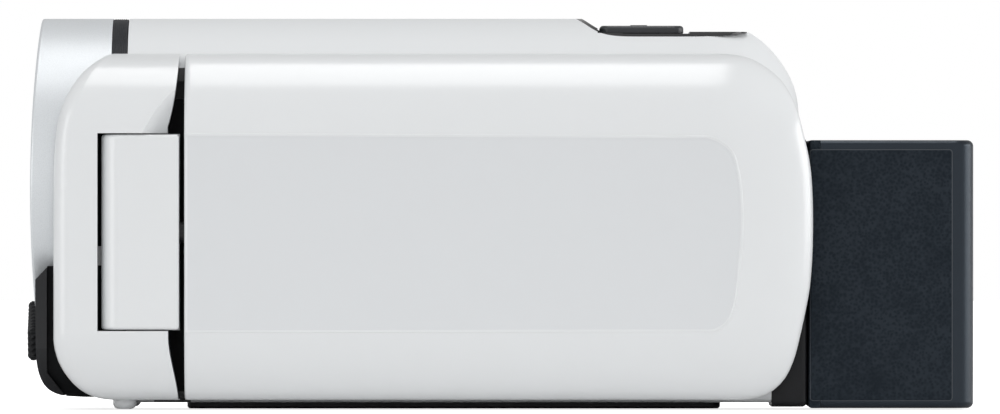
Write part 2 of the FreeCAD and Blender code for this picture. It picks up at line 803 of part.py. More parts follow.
def carriage(x0, x1, outer, bore, rod_hole, zoom_hole, focus_hole):
    """A disc in the tube, with radii for its rim, its bore and the holes it is threaded by."""
    start, end = x0 - 1, x1 + 1
    return cut(
        axis_disc(outer, x0, x1),
        axis_disc(bore, start, end),
        *[cylinder("X", rod_hole, start, end, y, z) for y, z in RODS],
        cylinder("X", zoom_hole, start, end, *ZOOM_SHAFT),
        cylinder("X", focus_hole, start, end, *FOCUS_SHAFT),
    )


@piece
def front_lens():
    return lens(-48.4, -45.1, dim["lens_rad"], 1.9, 0.0)


@piece
def zoom_carriage():
    return carriage(-38.0, -33.0, 12.2, 7.0, "rod_rad + run_gap", 0.95, 1.2)


@piece
def zoom_lens():
    return lens(-37.0, -34.0, 6.95, 0.8, 0.8)


@piece
def iris_unit():
    return carriage(-17.0, -15.5, 12.5, 4.5, "rod_rad", 1.3, 1.3)


@piece
def focus_carriage():
    return carriage(-13.0, -9.5, 12.2, 5.5, "rod_rad + run_gap", 1.3, 0.55)


@piece
def focus_lens():
    return lens(-12.3, -10.4, 5.45, 0.6, 0.5)


@piece
def guide_rods():
    return group(*[cylinder("X", "rod_rad", -43.9, -3.1, y, z) for y, z in RODS])


@piece
def zoom_lead_screw():
    return cylinder("X", "screw_rad", -43.0, -7.1, *ZOOM_SHAFT)


@piece
def lens_motors():
    zoom_motor = cylinder("X", 2.1, -7.0, -3.1, *ZOOM_SHAFT)
    focus_motor = cylinder("X", 2.1, -7.0, -3.1, *FOCUS_SHAFT)
    focus_shaft = cylinder("X", 0.5, -15.4, -7.0, *FOCUS_SHAFT)
    return group(zoom_motor, fuse(focus_motor, focus_shaft))


@piece
def image_sensor_board():
    board = box(1.0, 2.2, "axis_y - 9", "axis_y + 9", "axis_z - 8", "axis_z + 8")
    chip = box(-1.4, 1.0, "axis_y - 5", "axis_y + 5", "axis_z - 4", "axis_z + 4")
    return fuse(board, chip)


# ---------------------------------------------------------------- screen-side frame and hinge
# Front line of the frame (x, z), running down in two curves.
FRAME_OUT = [
    (-45.0, 52.95), (-46.4, 52.6), (-48.0, 51.7), (-49.7, 50.3), (-51.2, 48.5), (-52.3, 46.7),
    (-53.2, 44.6), (-53.8, 42.2), (-54.15, 39.4), (-54.35, 36.0), (-54.4, 31.0),
]
FRAME_LOW = [
    (-54.4, 10.4), (-54.1, 8.4), (-53.3, 6.3), (-52.1, 4.5),
    (-50.6, 3.0), (-48.9, 2.0), (-46.9, 1.5), (-44.8, 1.35),
]
FRAME_BACK = -35.75  # rear end of the frame and the hinge block, x
# Rolled top and bottom of the panel's outer face (y, z).
TOP_ROLL = [
    (-25.4, 41.0), (-25.25, 43.4), (-24.65, 46.2), (-23.1, 48.8),
    (-20.6, 50.9), (-17.8, 52.1), (-14.9, 52.75),
]
LOW_ROLL = [(-20.6, 1.35), (-22.6, 2.5), (-24.2, 5.2), (-25.1, 8.3), (-25.4, 11.2)]


def skin_section(inner_y):
    """Cross-section shared by the screen panel and the frame in front of it."""
    radius, tip_y = RING_RAD + 0.25, TOP_ROLL[-1][0]

    def on_barrel(y):
        return V(y, AXIS_Z + math.sqrt(radius * radius - (y - AXIS_Y) ** 2), 0)

    inner, tip = on_barrel(inner_y), on_barrel(tip_y)
    foot = (inner_y, LOW_ROLL[0][1])
    return [
        line(foot, LOW_ROLL[0]),
        spline(LOW_ROLL),
        line(LOW_ROLL[-1], TOP_ROLL[0]),
        spline(TOP_ROLL),
        line(TOP_ROLL[-1], tip),
        Part.Arc(tip, on_barrel((inner_y + tip_y) / 2), inner),
        line(inner, foot),
    ]


def thumb_facet():
    """Sloping cut above the hinge block, through three points of its plane."""
    top, front, inner = V(-35.9, -25.4, 51.6), V(-41.2, -25.4, 40.9), V(-37.4, -22.4, 40.9)
    normal = (front - top).cross(inner - top).normalize()
    wide, deep = 60, 12
    facet = box(0.0, wide, 0.0, wide, 0.0, deep)
    turn = Rotation(V(0, 0, 1), normal)
    facet.Placement = Placement(top - turn.multVec(V(wide / 2, wide / 2, 0)), turn)
    return common(facet, box(-42.0, -30.0, -40.0, -17.0, 40.8, 52.2))


@piece
def hinge_side_frame():
    side = outline(FRAME_OUT, FRAME_LOW, (FRAME_BACK, 1.35), (FRAME_BACK, 52.95))
    frame = common(
        prism_x(skin_section(-17.3), -56.0, -35.0),
        prism_y(side, *SCREEN_HALF),
    )
    frame = fillet(
        frame, 2.2, lambda edge: edge.XMax < -44.0 and edge.YMax < -17.5 and edge.XMin < -46
    )
    frame = cut(frame, axis_disc("ring_rad + 0.15", -62.0, "body_front"))
    # Room for the housing, then for the wider chin in front of it: side y, rear end x.
    for room_y, room_x in ((-19.9, -43.6), (-21.1, -55.0)):
        room = rounded([(room_y, 21.3), (room_y, 0.0), (10.0, 0.0), (10.0, 21.3)])
        frame = cut(frame, prism_x(room, -60.0, room_x))
    hinge_room = box(-47.85, -30.0, -40.0, -19.9, 11.6, 40.9)
    scoop_top = outline(
        [(-35.85, 52.3), (-36.05, 49.5), (-36.6, 45.5), (-37.5, 41.8)],
        (-37.5, 40.8), (-33.0, 40.8), (-33.0, 52.3),
    )
    scoop_low = outline(
        (-37.4, 11.7),
        [(-37.4, 10.6), (-37.1, 8.0), (-36.4, 4.6), (-35.95, 1.5)],
        (-33.0, 1.5), (-33.0, 11.7),
    )
    return cut(
        frame,
        hinge_room,
        prism_y(scoop_top, *SCREEN_HALF),
        prism_y(scoop_low, *SCREEN_HALF),
        thumb_facet(),
        cylinder("Z", "hinge_pin_rad + 0.01", 8.9, 43.6, "hinge_x", "hinge_y"),
        cylinder("Z", "foot_rad + run_gap", 0.0, 1.8, "foot_x", SCREEN_FOOT_Y),
    )


@piece
def hinge_pin():
    return cylinder("Z", "hinge_pin_rad", 9.0, 43.5, "hinge_x", "hinge_y")


@piece
def hinge_block():
    x, y, radius = dim["hinge_x"], dim["hinge_y"], dim["hinge_rad"]
    outer_y, inner_y = y - radius, y + radius
    plan = [
        Part.Arc(V(x, inner_y, 0), V(x - radius, y, 0), V(x, outer_y, 0)),
        line((x, outer_y), (FRAME_BACK, outer_y)),
        line((FRAME_BACK, outer_y), (FRAME_BACK, inner_y)),
        line((FRAME_BACK, inner_y), (x, inner_y)),
    ]
    block = fillet(
        prism_z(plan, "hinge_lo", "hinge_hi"), 0.5,
        lambda edge: edge.XMin > -35.8 or (edge.ZLength < 1e-3 and edge.YMax < y),
    )
    return cut(
        block,
        cylinder("Z", "hinge_pin_rad + run_gap", 8.0, 45.0, "hinge_x", "hinge_y"),
        cylinder("X", "tilt_rad + run_gap", -41.2, -30.0, "tilt_y", "tilt_z"),
    )


@piece
def tilt_shaft():
    return cylinder("X", "tilt_rad", -41.0, -30.2, "tilt_y", "tilt_z")


# ---------------------------------------------------------------- screen panel
# Rear line of the screen panel (x, z), running down from its top edge.
PANEL = [
    (43.7, 52.9), (48.2, 52.3), (51.2, 50.8), (53.4, 48.9), (54.9, 46.6), (55.9, 44.1),
    (56.5, 41.9), (56.95, 40.0), (57.5, 37.6), (57.9, 34.7), (58.1, 31.2), (58.15, 27.3),
    (58.05, 22.7), (57.7, 18.2), (57.1, 14.8), (56.3, 11.1), (55.5, 7.9), (54.4, 5.2),
    (53.1, 3.5), (51.8, 2.5), (50.2, 1.8), (47.4, 1.2), (44.6, 0.9),
]


def panel_prism(hinge_inset, inset):
    """The panel's side outline across the screen side, inset at its hinge end and its rear."""
    rear = offset_points(PANEL, inset)
    hinge_end = dim["panel_x"] + hinge_inset
    side = outline(rear, (hinge_end, rear[-1][1]), (hinge_end, rear[0][1]))
    return prism_y(side, *SCREEN_HALF)


@piece
def screen_cover():
    panel = common(
        prism_x(skin_section(dim["panel_back_y"]), "panel_x", 70.0), panel_prism(0.0, 0.0)
    )
    panel = fillet(
        panel, 4.0, lambda edge: edge.XMin > 43.5 and edge.YMax < -14.5 and edge.YMin < -18.0
    )
    hinge_end = dim["panel_x"] + 0.01
    panel = fillet(
        panel, 0.5,
        lambda edge: edge.XMax < hinge_end and edge.YMin < -18.0 and edge.YMax < -14.0,
    )
    room_section = rounded([
        (-24.1, 11.4, 6.0), (-24.1, 40.8, 6.0), (-20.0, 48.4),
        (-10.0, 48.4), (-10.0, 2.6), (-20.6, 2.6),
    ])
    room = common(
        box("panel_x + 1.3", 56.5, "panel_y + 1.3", "panel_back_y + 1", 2.6, 47.6),
        panel_prism(1.3, 1.5),
        prism_x(room_section, -40.0, 70.0),
    )
    tilt_bore = cylinder("X", "tilt_rad + run_gap", -36.0, -30.0, "tilt_y", "tilt_z")
    return cut(panel, room, tilt_bore)


@piece
def screen_bezel():
    bezel = common(
        box("panel_x + 1.5", 56.2, -18.9, "panel_back_y", 2.8, 47.4),
        panel_prism(1.5, 1.7),
    )
    opening = box(
        "glass_x - 0.1", "glass_x + glass_wide + 0.1", -20.0, -10.0,
        "glass_z - 0.1", "glass_z + glass_high + 0.2",
    )
    return cut(bezel, opening)


@piece
def touch_glass():
    glass = box(
        "glass_x", "glass_x + glass_wide", -18.85, -17.75, "glass_z", "glass_z + glass_high"
    )
    return fillet(glass, 0.8, lambda edge: edge.YLength > 0.9)


@piece
def display_module():
    return box(
        "glass_x + 1.5", "glass_x + glass_wide - 1.1", -20.95, -18.95,
        "glass_z + 0.8", "glass_z + glass_high - 0.7",
    )


# ---------------------------------------------------------------- top controls
CONTROL_PLATE_T = 0.45


def within_plate(solid, *limits):
    """A solid kept to the control plate's plan and to the barrel's radius."""
    plan = rounded([(23.0, -9.2, 4.0), (48.6, -9.2, 5.0), (48.6, 12.8, 5.0), (23.0, 12.8, 4.0)])
    return common(
        solid, *limits, prism_z(plan, 50.0, 60.0), axis_disc("ring_rad", 10.0, 60.0)
    )


@piece
def control_plate():
    top_line = offset_points(SADDLE, -CONTROL_PLATE_T)
    plate = within_plate(prism_y(outline(SADDLE, top_line[::-1]), *FULL_WIDTH))
    plate = cut(plate, box(40.0, 60.0, -30.0, 40.0, 54.0, 60.0))
    rear_deck = within_plate(box(40.0, 48.6, -12.0, 15.0, 54.0, 56.08), saddle())
    return cut(fuse(plate, rear_deck), lever_slot(), photo_clearance(50.0), lever_room())


@piece
def zoom_lever():
    cap = box("lever_lo", "lever_hi", -5.6, 7.6, 55.95, "lever_top")
    cap = fillet(cap, 1.5, lambda edge: edge.ZLength > 0.5)
    cap = fillet(cap, 0.5, lambda edge: edge.ZMin > 56.9)
    ridge = box("lever_lo + 4.6", "lever_hi - 5.4", -3.0, 5.0, 56.9, 57.12)
    ridge = fillet(ridge, 0.1, lambda edge: edge.ZMin > 57.1)
    stem = box("lever_lo + 3.5", "lever_hi - 3.6", -2.4, 4.4, 52.6, 56.0)
    return fuse(cap, ridge, stem)


@piece
def photo_button():
    cap = cylinder("Z", "photo_rad", "saddle_z", 56.1, "photo_x", "axis_y")
    cap = fillet(cap, 0.3, lambda edge: edge.ZMin > 56.0)
    return fuse(cap, cylinder("Z", 1.9, 52.6, "saddle_z + 0.05", "photo_x", "axis_y"))


@piece
def switch_boards():
    """Two boards behind the bay wall, one under the top controls, one by the record button."""
    top_board = fuse(
        box(24.0, 47.0, -5.0, 9.0, 50.2, 51.2),
        box(30.5, 35.5, -1.4, 3.4, 51.2, 52.2),
        box(41.6, 44.8, 0.2, 3.4, 51.2, 52.0),
    )
    return group(
        box(-30.0, -21.0, -14.6, -13.8, 22.0, 44.0),
        box(-19.9, 12.0, -14.6, -13.8, 22.0, 34.0),
        top_board,
        box(50.5, 52.6, 17.2, 22.4, 26.0, 36.0),
    )


# ---------------------------------------------------------------- rear: record button, inlet
@piece
def record_button_ring():
    return cut(
        cylinder("X", "button_rad + 1.05", 55.0, 56.7, "record_y", "record_z"),
        cylinder("X", "button_rad + 0.1", 50.0, 60.0, "record_y", "record_z"),
    )


@piece
def record_button():
    cap = cylinder("X", "button_rad", 54.9, 57.3, "record_y", "record_z")
    cap = fillet(cap, 0.6, lambda edge: edge.XMin > 57.2)
    return fuse(cap, cylinder("X", 1.5, 53.4, 55.0, "record_y", "record_z"))


@piece
def power_inlet_door():
    door = box(55.0, 56.2, "inlet_y - 3", "inlet_y + 3", 8.15, 17.9)
    door = fillet(door, 0.55, lambda edge: edge.ZMax < 8.2 and edge.YLength > 5)
    return fuse(door, cylinder("Y", 0.35, 15.9, 23.1, "lid_axis_x", "lid_axis_z"))


@piece
def power_inlet_jack():
    block = box(
        46.0, 53.6, "inlet_y - 2.9", "inlet_y + 2.9", "inlet_z - 3.6", "inlet_z + 3.6"
    )
    return cut(block, cylinder("X", "inlet_rad", 48.0, 60.0, "inlet_y", "inlet_z"))


# ---------------------------------------------------------------- battery plate and battery
CONTACTS_Y = [-4.0 + 2.4 * k for k in range(3)]


def tee_rails(x0, x1, x2, web, flange, z0, z1):
    """Both T-section rails: a web from x0 to x1, a flange on to x2, widths as half-widths."""
    rails = []
    for y in ("rail_lo_y", "rail_hi_y"):
        rails.append(box(x0, x1, f"{y} - {web}", f"{y} + {web}", z0, z1))
        rails.append(box(x1, x2, f"{y} - {flange}", f"{y} + {flange}", z0, z1))
    return rails


@piece
def battery_plate():
    plate = box(
        "plate_front", "plate_back", "bat_lo_y - 0.1", "bat_hi_y + 0.1",
        "bat_lo_z + 0.2", "bat_hi_z + 0.3",
    )
    plate = fillet(plate, 0.8, lambda edge: edge.XMin > 57.0 or edge.XLength > 4.9)
    rails = tee_rails(
        "plate_back - 0.1", "bat_x + 0.6", "bat_x + 1.4", 0.8, 1.6, 1.0, "rail_top"
    )
    latch_room = box(55.2, 60.0, -4.5, 4.5, 0.0, 5.2)
    contact_room = box("plate_back - 1.2", 60.0, -5.0, 3.0, 9.5, 17.0)
    return cut(fuse(plate, *rails), latch_room, contact_room)


@piece
def battery_contacts():
    return group(*[
        box("plate_back - 1.15", "bat_x + 0.9", y - 0.4, y + 0.4, 10.0, 16.5)
        for y in CONTACTS_Y
    ])


@piece
def battery_latch():
    slider = box(55.4, 57.05, -4.3, 0.8, 0.45, 5.0)
    catch = box(57.0, 58.3, -3.2, -0.2, 2.2, 4.6)
    ribs = [box(55.7, 56.8, -3.9 + 1.2 * k, -3.3 + 1.2 * k, 0.2, 0.5) for k in range(4)]
    return fuse(fuse(slider, catch), *ribs)


@piece
def battery_case():
    low, high = dim["bat_lo_z"] + 0.01, dim["bat_hi_z"] - 0.01
    rear, mouth = dim["bat_back"] - 0.01, dim["bat_x"] + 1.81
    case = box("bat_x + 1.8", "bat_back", "bat_lo_y", "bat_hi_y", "bat_lo_z", "bat_hi_z")
    case = fillet(case, 2.7, lambda edge: edge.XMin > rear and edge.ZLength > 5)
    case = fillet(
        case, 0.9,
        lambda edge: (edge.ZMax < low or edge.ZMin > high) and not edge.XMax < mouth,
    )
    room = box(
        "bat_x + 1.7", "bat_back - bat_wall", "bat_lo_y + bat_wall", "bat_hi_y - bat_wall",
        "bat_lo_z + bat_wall", "bat_hi_z - bat_wall",
    )
    return cut(case, room)


@piece
def battery_front():
    front = box("bat_x", "bat_x + 1.75", "bat_lo_y", "bat_hi_y", "bat_lo_z", "bat_hi_z")
    front = fillet(front, 0.5, lambda edge: edge.XMax < dim["bat_x"] + 0.01)
    grooves = tee_rails(
        "bat_x - 1", "bat_x + 0.45", "bat_x + 1.5", 1.0, 1.8, -1.0, "rail_top + 1"
    )
    contact_slots = [
        box("bat_x - 1", "bat_x + 1.1", y - 0.7, y + 0.7, -1.0, 17.5) for y in CONTACTS_Y
    ]
    latch_notch = box("bat_x - 1", "bat_x + 1.0", -3.5, 4.5, -1.0, 5.4)
    return cut(front, *grooves, *contact_slots, latch_notch)


@piece
def battery_cells():
    cells = []
    for k in range(3):
        shift = f"{7.1 * k:.1f}"
        cell = box(
            "bat_x + 2.1 + " + shift, "bat_x + 8.9 + " + shift,
            "bat_lo_y + 1.7", "bat_hi_y - 1.7", "bat_lo_z + 1.9", "bat_hi_z - 2.4",
        )
        cells.append(fillet(cell, 1.2, lambda edge: edge.ZLength > 30))
    return group(*cells)


# ---------------------------------------------------------------- base, socket, feet, card door
@piece
def base_plate():
    front, rear = dim["base_lo_x"], dim["base_hi_x"]
    plan = rounded([
        (front, -12.5, 2.5), (rear, -12.5, 2.5), (rear, 18.5, 4.0), (front, 18.5, 4.0)
    ])
    plate = chamfer(prism_z(plan, 0.0, "base_t"), 0.3, lambda edge: edge.ZMax < 0.01)
    card_opening = box(
        "card_lo_x - 0.2", "card_hi_x + 0.2", "card_lo_y - 0.2", "card_hi_y + 0.2", -1.0, 3.0
    )
    hinge_bore = cylinder(
        "X", "0.25 + run_gap", "card_lo_x - 0.7", "card_hi_x + 0.7",
        "card_axis_y", "card_axis_z",
    )
    return cut(
        plate,
        cylinder("Z", "bush_rad + 0.05", -1.0, 3.0, 0.0, 0.0),
        card_opening,
        hinge_bore,
        *[cylinder("Z", 1.6, -1.0, 3.0, x, y) for x, y in BASE_SCREWS],
    )


@piece
def tripod_bush():
    barrel = cylinder("Z", "bush_rad", 0.0, 7.0, 0.0, 0.0)
    flange = cylinder("Z", "bush_rad + 1.6", 2.5, 3.3, 0.0, 0.0)
    socket = cylinder("Z", "socket_rad", -1.0, "socket_len", 0.0, 0.0)
    return cut(fuse(barrel, flange), socket)


@piece
def front_feet():
    feet = []
    for y in (SCREEN_FOOT_Y, GRIP_FOOT_Y):
        foot = cylinder("Z", "foot_rad", 0.0, "foot_high", "foot_x", y)
        feet.append(fillet(foot, 0.9, lambda edge: edge.ZMax < 0.01))
    return group(*feet)


@piece
def card_door():
    door = box("card_lo_x", "card_hi_x", "card_lo_y", "card_hi_y", 0.05, 0.85)
    door = fillet(door, 0.38, lambda edge: edge.YMin > -1.61 and edge.XLength > 20)
    hinge = cylinder(
        "X", 0.25, "card_lo_x - 0.6", "card_hi_x + 0.6", "card_axis_y", "card_axis_z"
    )
    return cut(fuse(door, hinge), box(26.0, 30.0, -10.0, -9.3, -1.0, 0.3))


@piece
def card_socket():
    block = box("slot_lo_x", "slot_hi_x", "slot_lo_y", "slot_hi_y", 5.2, "slot_top")
    room = box(
        "slot_lo_x + 0.7", "slot_hi_x - 0.7", "slot_lo_y + 1.3", "slot_hi_y - 1.3",
        4.0, "slot_top - 1.5",
    )
    return cut(block, room)


# ---------------------------------------------------------------- inside: chassis, boards
BOARD_SCREWS = [
    (x, z)
    for z in ("board_lo_z + 4", "board_hi_z - 3")
    for x in ("board_lo_x + 3", "board_hi_x - 3")
]
# Chips on the main board: x0, x1, z0, z1, height above the board.
CHIPS = [
    (-10.0, 4.0, 20.0, 34.0, 1.2),
    (10.0, 20.0, 22.0, 34.0, 1.0),
    (26.0, 38.0, 24.0, 32.0, 0.9),
    (-22.0, -14.0, 14.0, 22.0, 1.5),
    (12.0, 18.0, 11.0, 16.0, 1.7),
]


@piece
def main_chassis():
    floor = box(-40.0, 47.0, -13.0, "spine_y + deck_t", "deck_z", "deck_z + deck_t")
    upright = box(-30.0, 46.0, "spine_y", "spine_y + deck_t", "deck_z", 44.0)
    return cut(
        fuse(floor, upright),
        cylinder("Z", "bush_rad + 0.1", 0.0, 9.0, 0.0, 0.0),
        box(14.0, 42.0, -10.9, -1.2, 0.0, 9.0),
        box(-8.0, 8.0, 15.0, 18.0, 10.0, 22.0),
        *[cylinder("Z", 0.8, 0.0, 9.0, x, y) for x, y in BASE_SCREWS],
    )


@piece
def main_board():
    board = box(
        "board_lo_x", "board_hi_x", "board_y", "board_y + board_t", "board_lo_z", "board_hi_z"
    )
    return cut(board, *[cylinder("Y", 1.2, 15.0, 20.0, x, z) for x, z in BOARD_SCREWS])


@piece
def board_chips():
    face = "board_y + board_t"
    return group(*[
        box(x0, x1, face, f"{face} + {height}", z0, z1) for x0, x1, z0, z1, height in CHIPS
    ])


@piece
def case_screws():
    screws = []
    for x, y in BASE_SCREWS:
        head = cylinder("Z", 1.5, 0.15, 0.88, x, y)
        screws.append(fuse(head, cylinder("Z", 0.75, 0.8, 5.0, x, y)))
    for x, z in BOARD_SCREWS:
        shank = cylinder("Y", 1.1, 16.95, "board_y + 1.2", x, z)
        screws.append(fuse(shank, cylinder("Y", 1.9, "board_y + 1.2", "board_y + 2", x, z)))
    return group(*screws)


# ---------------------------------------------------------------- hand strap
# Inner line of the strap (x, y), running rearward.
STRAP_LINE = [
    (-32.9, 26.1), (-24.0, 26.3), (-8.0, 26.7), (6.25, 26.85),
    (20.5, 26.7), (36.5, 26.3), (45.4, 26.1),
]


@piece
def strap_anchors():
    anchors = []
    for x in STRAP_BARS:
        bar = cylinder("Z", "anchor_rad", 15.0, 36.0, x, "anchor_y")
        posts = [cylinder("Y", 0.75, 23.6, "anchor_y", x, z) for z in STRAP_POSTS_Z]
        anchors.append(fuse(bar, *posts))
    return group(*anchors)


@piece
def hand_strap():
    outer_line = [(x, y + dim["strap_t"]) for x, y in STRAP_LINE]
    strap = prism_z(outline(STRAP_LINE, outer_line[::-1]), "strap_lo", "strap_hi")
    side = rounded([
        (-33.5, 18.0, 2.0), (-26.0, 14.4, 6.0), (38.5, 14.4, 6.0), (46.0, 18.0, 2.0),
        (46.0, 33.5, 2.0), (38.5, 37.2, 6.0), (-26.0, 37.2, 6.0), (-33.5, 33.5, 2.0),
    ])
    return common(strap, prism_y(side, 20.0, 35.0))


# ---------------------------------------------------------------- build, check and write
pieces = []
for build in BUILDERS:
    built = build()
    built.Label = build.__name__
    pieces.append(built)
doc.recompute()

failed = [o.Name for o in doc.Objects if "Invalid" in o.State or "Error" in o.State]
if failed:
    raise SystemExit("failed objects: %s" % failed)
for built in pieces:
    shape = built.Shape
    if shape.isNull() or not shape.isValid() or not shape.Solids or shape.Volume <= 0:
        raise SystemExit("bad shape: %s" % built.Label)

for old in os.listdir("parts"):
    if old.endswith(".step"):
        os.remove(os.path.join("parts", old))
for built in pieces:
    solids = built.Shape.Solids
    shape = solids[0] if len(solids) == 1 else Part.makeCompound(solids)
    shape.exportStep(os.path.join("parts", built.Label + ".step"))
print("wrote", len(pieces), "pieces")
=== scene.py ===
"""Looks for a hand-held camcorder with a folding screen panel and a hand strap.

The lens looks along -X and the battery is at the +X end. The screen panel closes over the -Y
side, the hand strap runs along the +Y side, and +Z is up. Meshes are worked out in millimetres
and scaled to metres; the stage is in metres.
"""
import json
import math

import bmesh
import bpy
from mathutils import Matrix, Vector
from mathutils.bvhtree import BVHTree


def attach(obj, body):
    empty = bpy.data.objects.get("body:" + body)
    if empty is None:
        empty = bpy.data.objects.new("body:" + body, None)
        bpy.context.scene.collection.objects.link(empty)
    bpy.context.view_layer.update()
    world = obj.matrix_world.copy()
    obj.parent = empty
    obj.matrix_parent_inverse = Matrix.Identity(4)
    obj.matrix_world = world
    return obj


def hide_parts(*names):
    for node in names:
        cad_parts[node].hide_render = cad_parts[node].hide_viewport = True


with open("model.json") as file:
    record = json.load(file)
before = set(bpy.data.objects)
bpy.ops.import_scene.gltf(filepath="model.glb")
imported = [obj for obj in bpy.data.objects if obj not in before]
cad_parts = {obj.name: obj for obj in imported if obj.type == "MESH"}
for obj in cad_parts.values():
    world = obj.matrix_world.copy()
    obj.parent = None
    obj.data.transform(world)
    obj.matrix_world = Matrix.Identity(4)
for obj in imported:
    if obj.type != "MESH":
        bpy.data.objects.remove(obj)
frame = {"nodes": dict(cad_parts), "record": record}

MM = 0.001
AXIS_Y, AXIS_Z = 1.8, 34.3  # optical axis, parallel to X

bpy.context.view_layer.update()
nodes = frame["nodes"]
scene = bpy.context.scene
scene.view_settings.view_transform = "Standard"
scene.view_settings.look = "None"


# ------------------------------------------------------------------ shader node helpers
def feed(socket, value):
    """Links a socket to another one, or sets its value."""
    if isinstance(value, bpy.types.NodeSocket):
        socket.id_data.links.new(value, socket)
    else:
        socket.default_value = value


def set_inputs(node, **inputs):
    """Feeds named inputs; an underscore stands for a space in the name."""
    for name, value in inputs.items():
        feed(node.inputs[name.replace("_", " ")], value)


def add_node(tree, kind, props=None, **inputs):
    node = tree.nodes.new(kind)
    for name, value in (props or {}).items():
        setattr(node, name, value)
    set_inputs(node, **inputs)
    return node


def math_node(tree, operation, *values):
    node = add_node(tree, "ShaderNodeMath", {"operation": operation})
    for socket, value in zip(node.inputs, values):
        feed(socket, value)
    return node.outputs["Value"]


class Mat:
    """A small builder for procedural materials; sizes are in millimetres on the object."""

    def __init__(self, name, tone, rough, metal=0.0, coat=0.0, coat_rough=0.1, spec=0.5):
        self.material = bpy.data.materials.new(name)
        self.material.use_nodes = True
        self.material.diffuse_color = (*tone, 1.0)
        self.tree = self.material.node_tree
        self.shader = self.tree.nodes["Principled BSDF"]
        self.tone = tone
        self.coord = None
        self.normal = None
        self.set(Base_Color=(*tone, 1.0), Roughness=rough, Metallic=metal,
                 Specular_IOR_Level=spec, Coat_Weight=coat, Coat_Roughness=coat_rough)

    def set(self, **inputs):
        set_inputs(self.shader, **inputs)
        return self

    def node(self, kind, props=None, **inputs):
        return add_node(self.tree, kind, props, **inputs)

    def object_coords(self):
        if self.coord is None:
            self.coord = self.node("ShaderNodeTexCoord")
        return self.coord.outputs["Object"]

    def texture(self, kind, size, props=None, **inputs):
        """A texture on object coordinates, with features of the size given."""
        return self.node(kind, props, Vector=self.object_coords(),
                         Scale=1.0 / (size * MM), **inputs)

    def noise(self, size, detail=4.0, stretch=None):
        noise = self.texture("ShaderNodeTexNoise", size, Detail=detail, Roughness=0.6)
        if stretch:
            mapping = self.node("ShaderNodeMapping", Vector=self.object_coords(), Scale=stretch)
            set_inputs(noise, Vector=mapping.outputs["Vector"])
        return noise.outputs["Fac"]

    def bands(self, direction, pitch, **inputs):
        """Parallel waves across one axis, for woven threads."""
        wave = self.node("ShaderNodeTexWave", {"bands_direction": direction},
                         Vector=self.object_coords(), Scale=0.314 / (pitch * MM), **inputs)
        return wave.outputs["Fac"]

    def ramp(self, factor, stops):
        ramp = self.node("ShaderNodeValToRGB", Fac=factor)
        elements = ramp.color_ramp.elements
        while len(elements) < len(stops):
            elements.new(0.5)
        for element, (position, color) in zip(elements, stops):
            element.position = position
            element.color = (*color, 1.0)
        return ramp.outputs["Color"]

    def mix(self, factor, a, b, blend="MIX"):
        mix = self.node("ShaderNodeMix", {"data_type": "RGBA", "blend_type": blend},
                        Factor=factor, A=a, B=b)
        return mix.outputs["Result"]

    def paint_over(self, factor, color):
        """Mixes a colour over what already feeds the base colour."""
        under = self.shader.inputs["Base Color"].links[0].from_socket
        return self.set(Base_Color=self.mix(factor, under, (*color, 1.0)))

    def vary(self, size, amount):
        """Slight change of tone over the surface."""
        low = tuple(max(c * (1 - amount), 0) for c in self.tone)
        high = tuple(min(c * (1 + amount), 1) for c in self.tone)
        patches = self.noise(size, detail=3.0)
        return self.set(Base_Color=self.ramp(patches, [(0.15, low), (0.85, high)]))

    def wear(self, lighter, amount=0.5, radius=0.35):
        """Lighter, rubbed edges where the surface turns sharply."""
        bevel = self.node("ShaderNodeBevel", {"samples": 4}, Radius=radius * MM)
        geometry = self.node("ShaderNodeNewGeometry")
        dot = self.node("ShaderNodeVectorMath", {"operation": "DOT_PRODUCT"})
        feed(dot.inputs[0], bevel.outputs["Normal"])
        feed(dot.inputs[1], geometry.outputs["Normal"])
        edge = self.ramp(dot.outputs["Value"], [(0.80, (1, 1, 1)), (0.97, (0, 0, 0))])
        patchy = self.ramp(self.noise(1.6, detail=5.0), [(0.42, (0, 0, 0)), (0.62, (1, 1, 1))])
        rubbed = self.mix(1.0, edge, patchy, blend="MULTIPLY")
        return self.paint_over(math_node(self.tree, "MULTIPLY", rubbed, amount), lighter)

    def painted_slit_shade(self, x_min, x_max, y_max):
        """Painted shade: near-black colour over the slit between the hinge frame and the screen
        panel, where shade falls.
        """
        xyz = self.node("ShaderNodeSeparateXYZ", Vector=self.object_coords())
        inside = None
        for axis, operation, limit in (("X", "GREATER_THAN", x_min), ("X", "LESS_THAN", x_max),
                                       ("Y", "LESS_THAN", y_max)):
            test = math_node(self.tree, operation, xyz.outputs[axis], limit * MM)
            inside = test if inside is None else math_node(self.tree, "MULTIPLY", inside, test)
        # the near-black mixed in over the slit is painted shade
        return self.paint_over(inside, (0.006, 0.006, 0.007))

    def rough_vary(self, size, low, high, detail=4.0):
        patches = self.noise(size, detail)
        return self.set(Roughness=self.ramp(patches, [(0.15, (low,) * 3), (0.85, (high,) * 3)]))

    def bump(self, height, strength, depth):
        """Adds a bump from a height socket on top of any earlier bump."""
        bump = self.node("ShaderNodeBump", Strength=strength, Distance=depth * MM, Height=height)
        if self.normal is not None:
            set_inputs(bump, Normal=self.normal)
        self.normal = bump.outputs["Normal"]
        return self.set(Normal=self.normal)

    def grain(self, size, strength, depth, detail=3.0):
        """A bump from noise."""
        return self.bump(self.noise(size, detail), strength, depth)


# ------------------------------------------------------------------ kinds of material
def pearl(name, tone=(0.675, 0.690, 0.700), painted_slit_shade=None, rough=0.32, coat=0.5, spec=0.5):
    m = Mat(name, tone, rough, coat=coat, coat_rough=0.17, spec=spec)
    m.vary(size=60.0, amount=0.010)
    m.wear((0.60, 0.60, 0.59), amount=0.22, radius=0.25)
    # paints shade into the slit by the hinge frame
    if painted_slit_shade:
        m.painted_slit_shade(*painted_slit_shade)
    m.rough_vary(size=30.0, low=rough - 0.02, high=rough + 0.02, detail=1.0)
    m.grain(size=0.28, strength=0.05, depth=0.010)
    return m.material


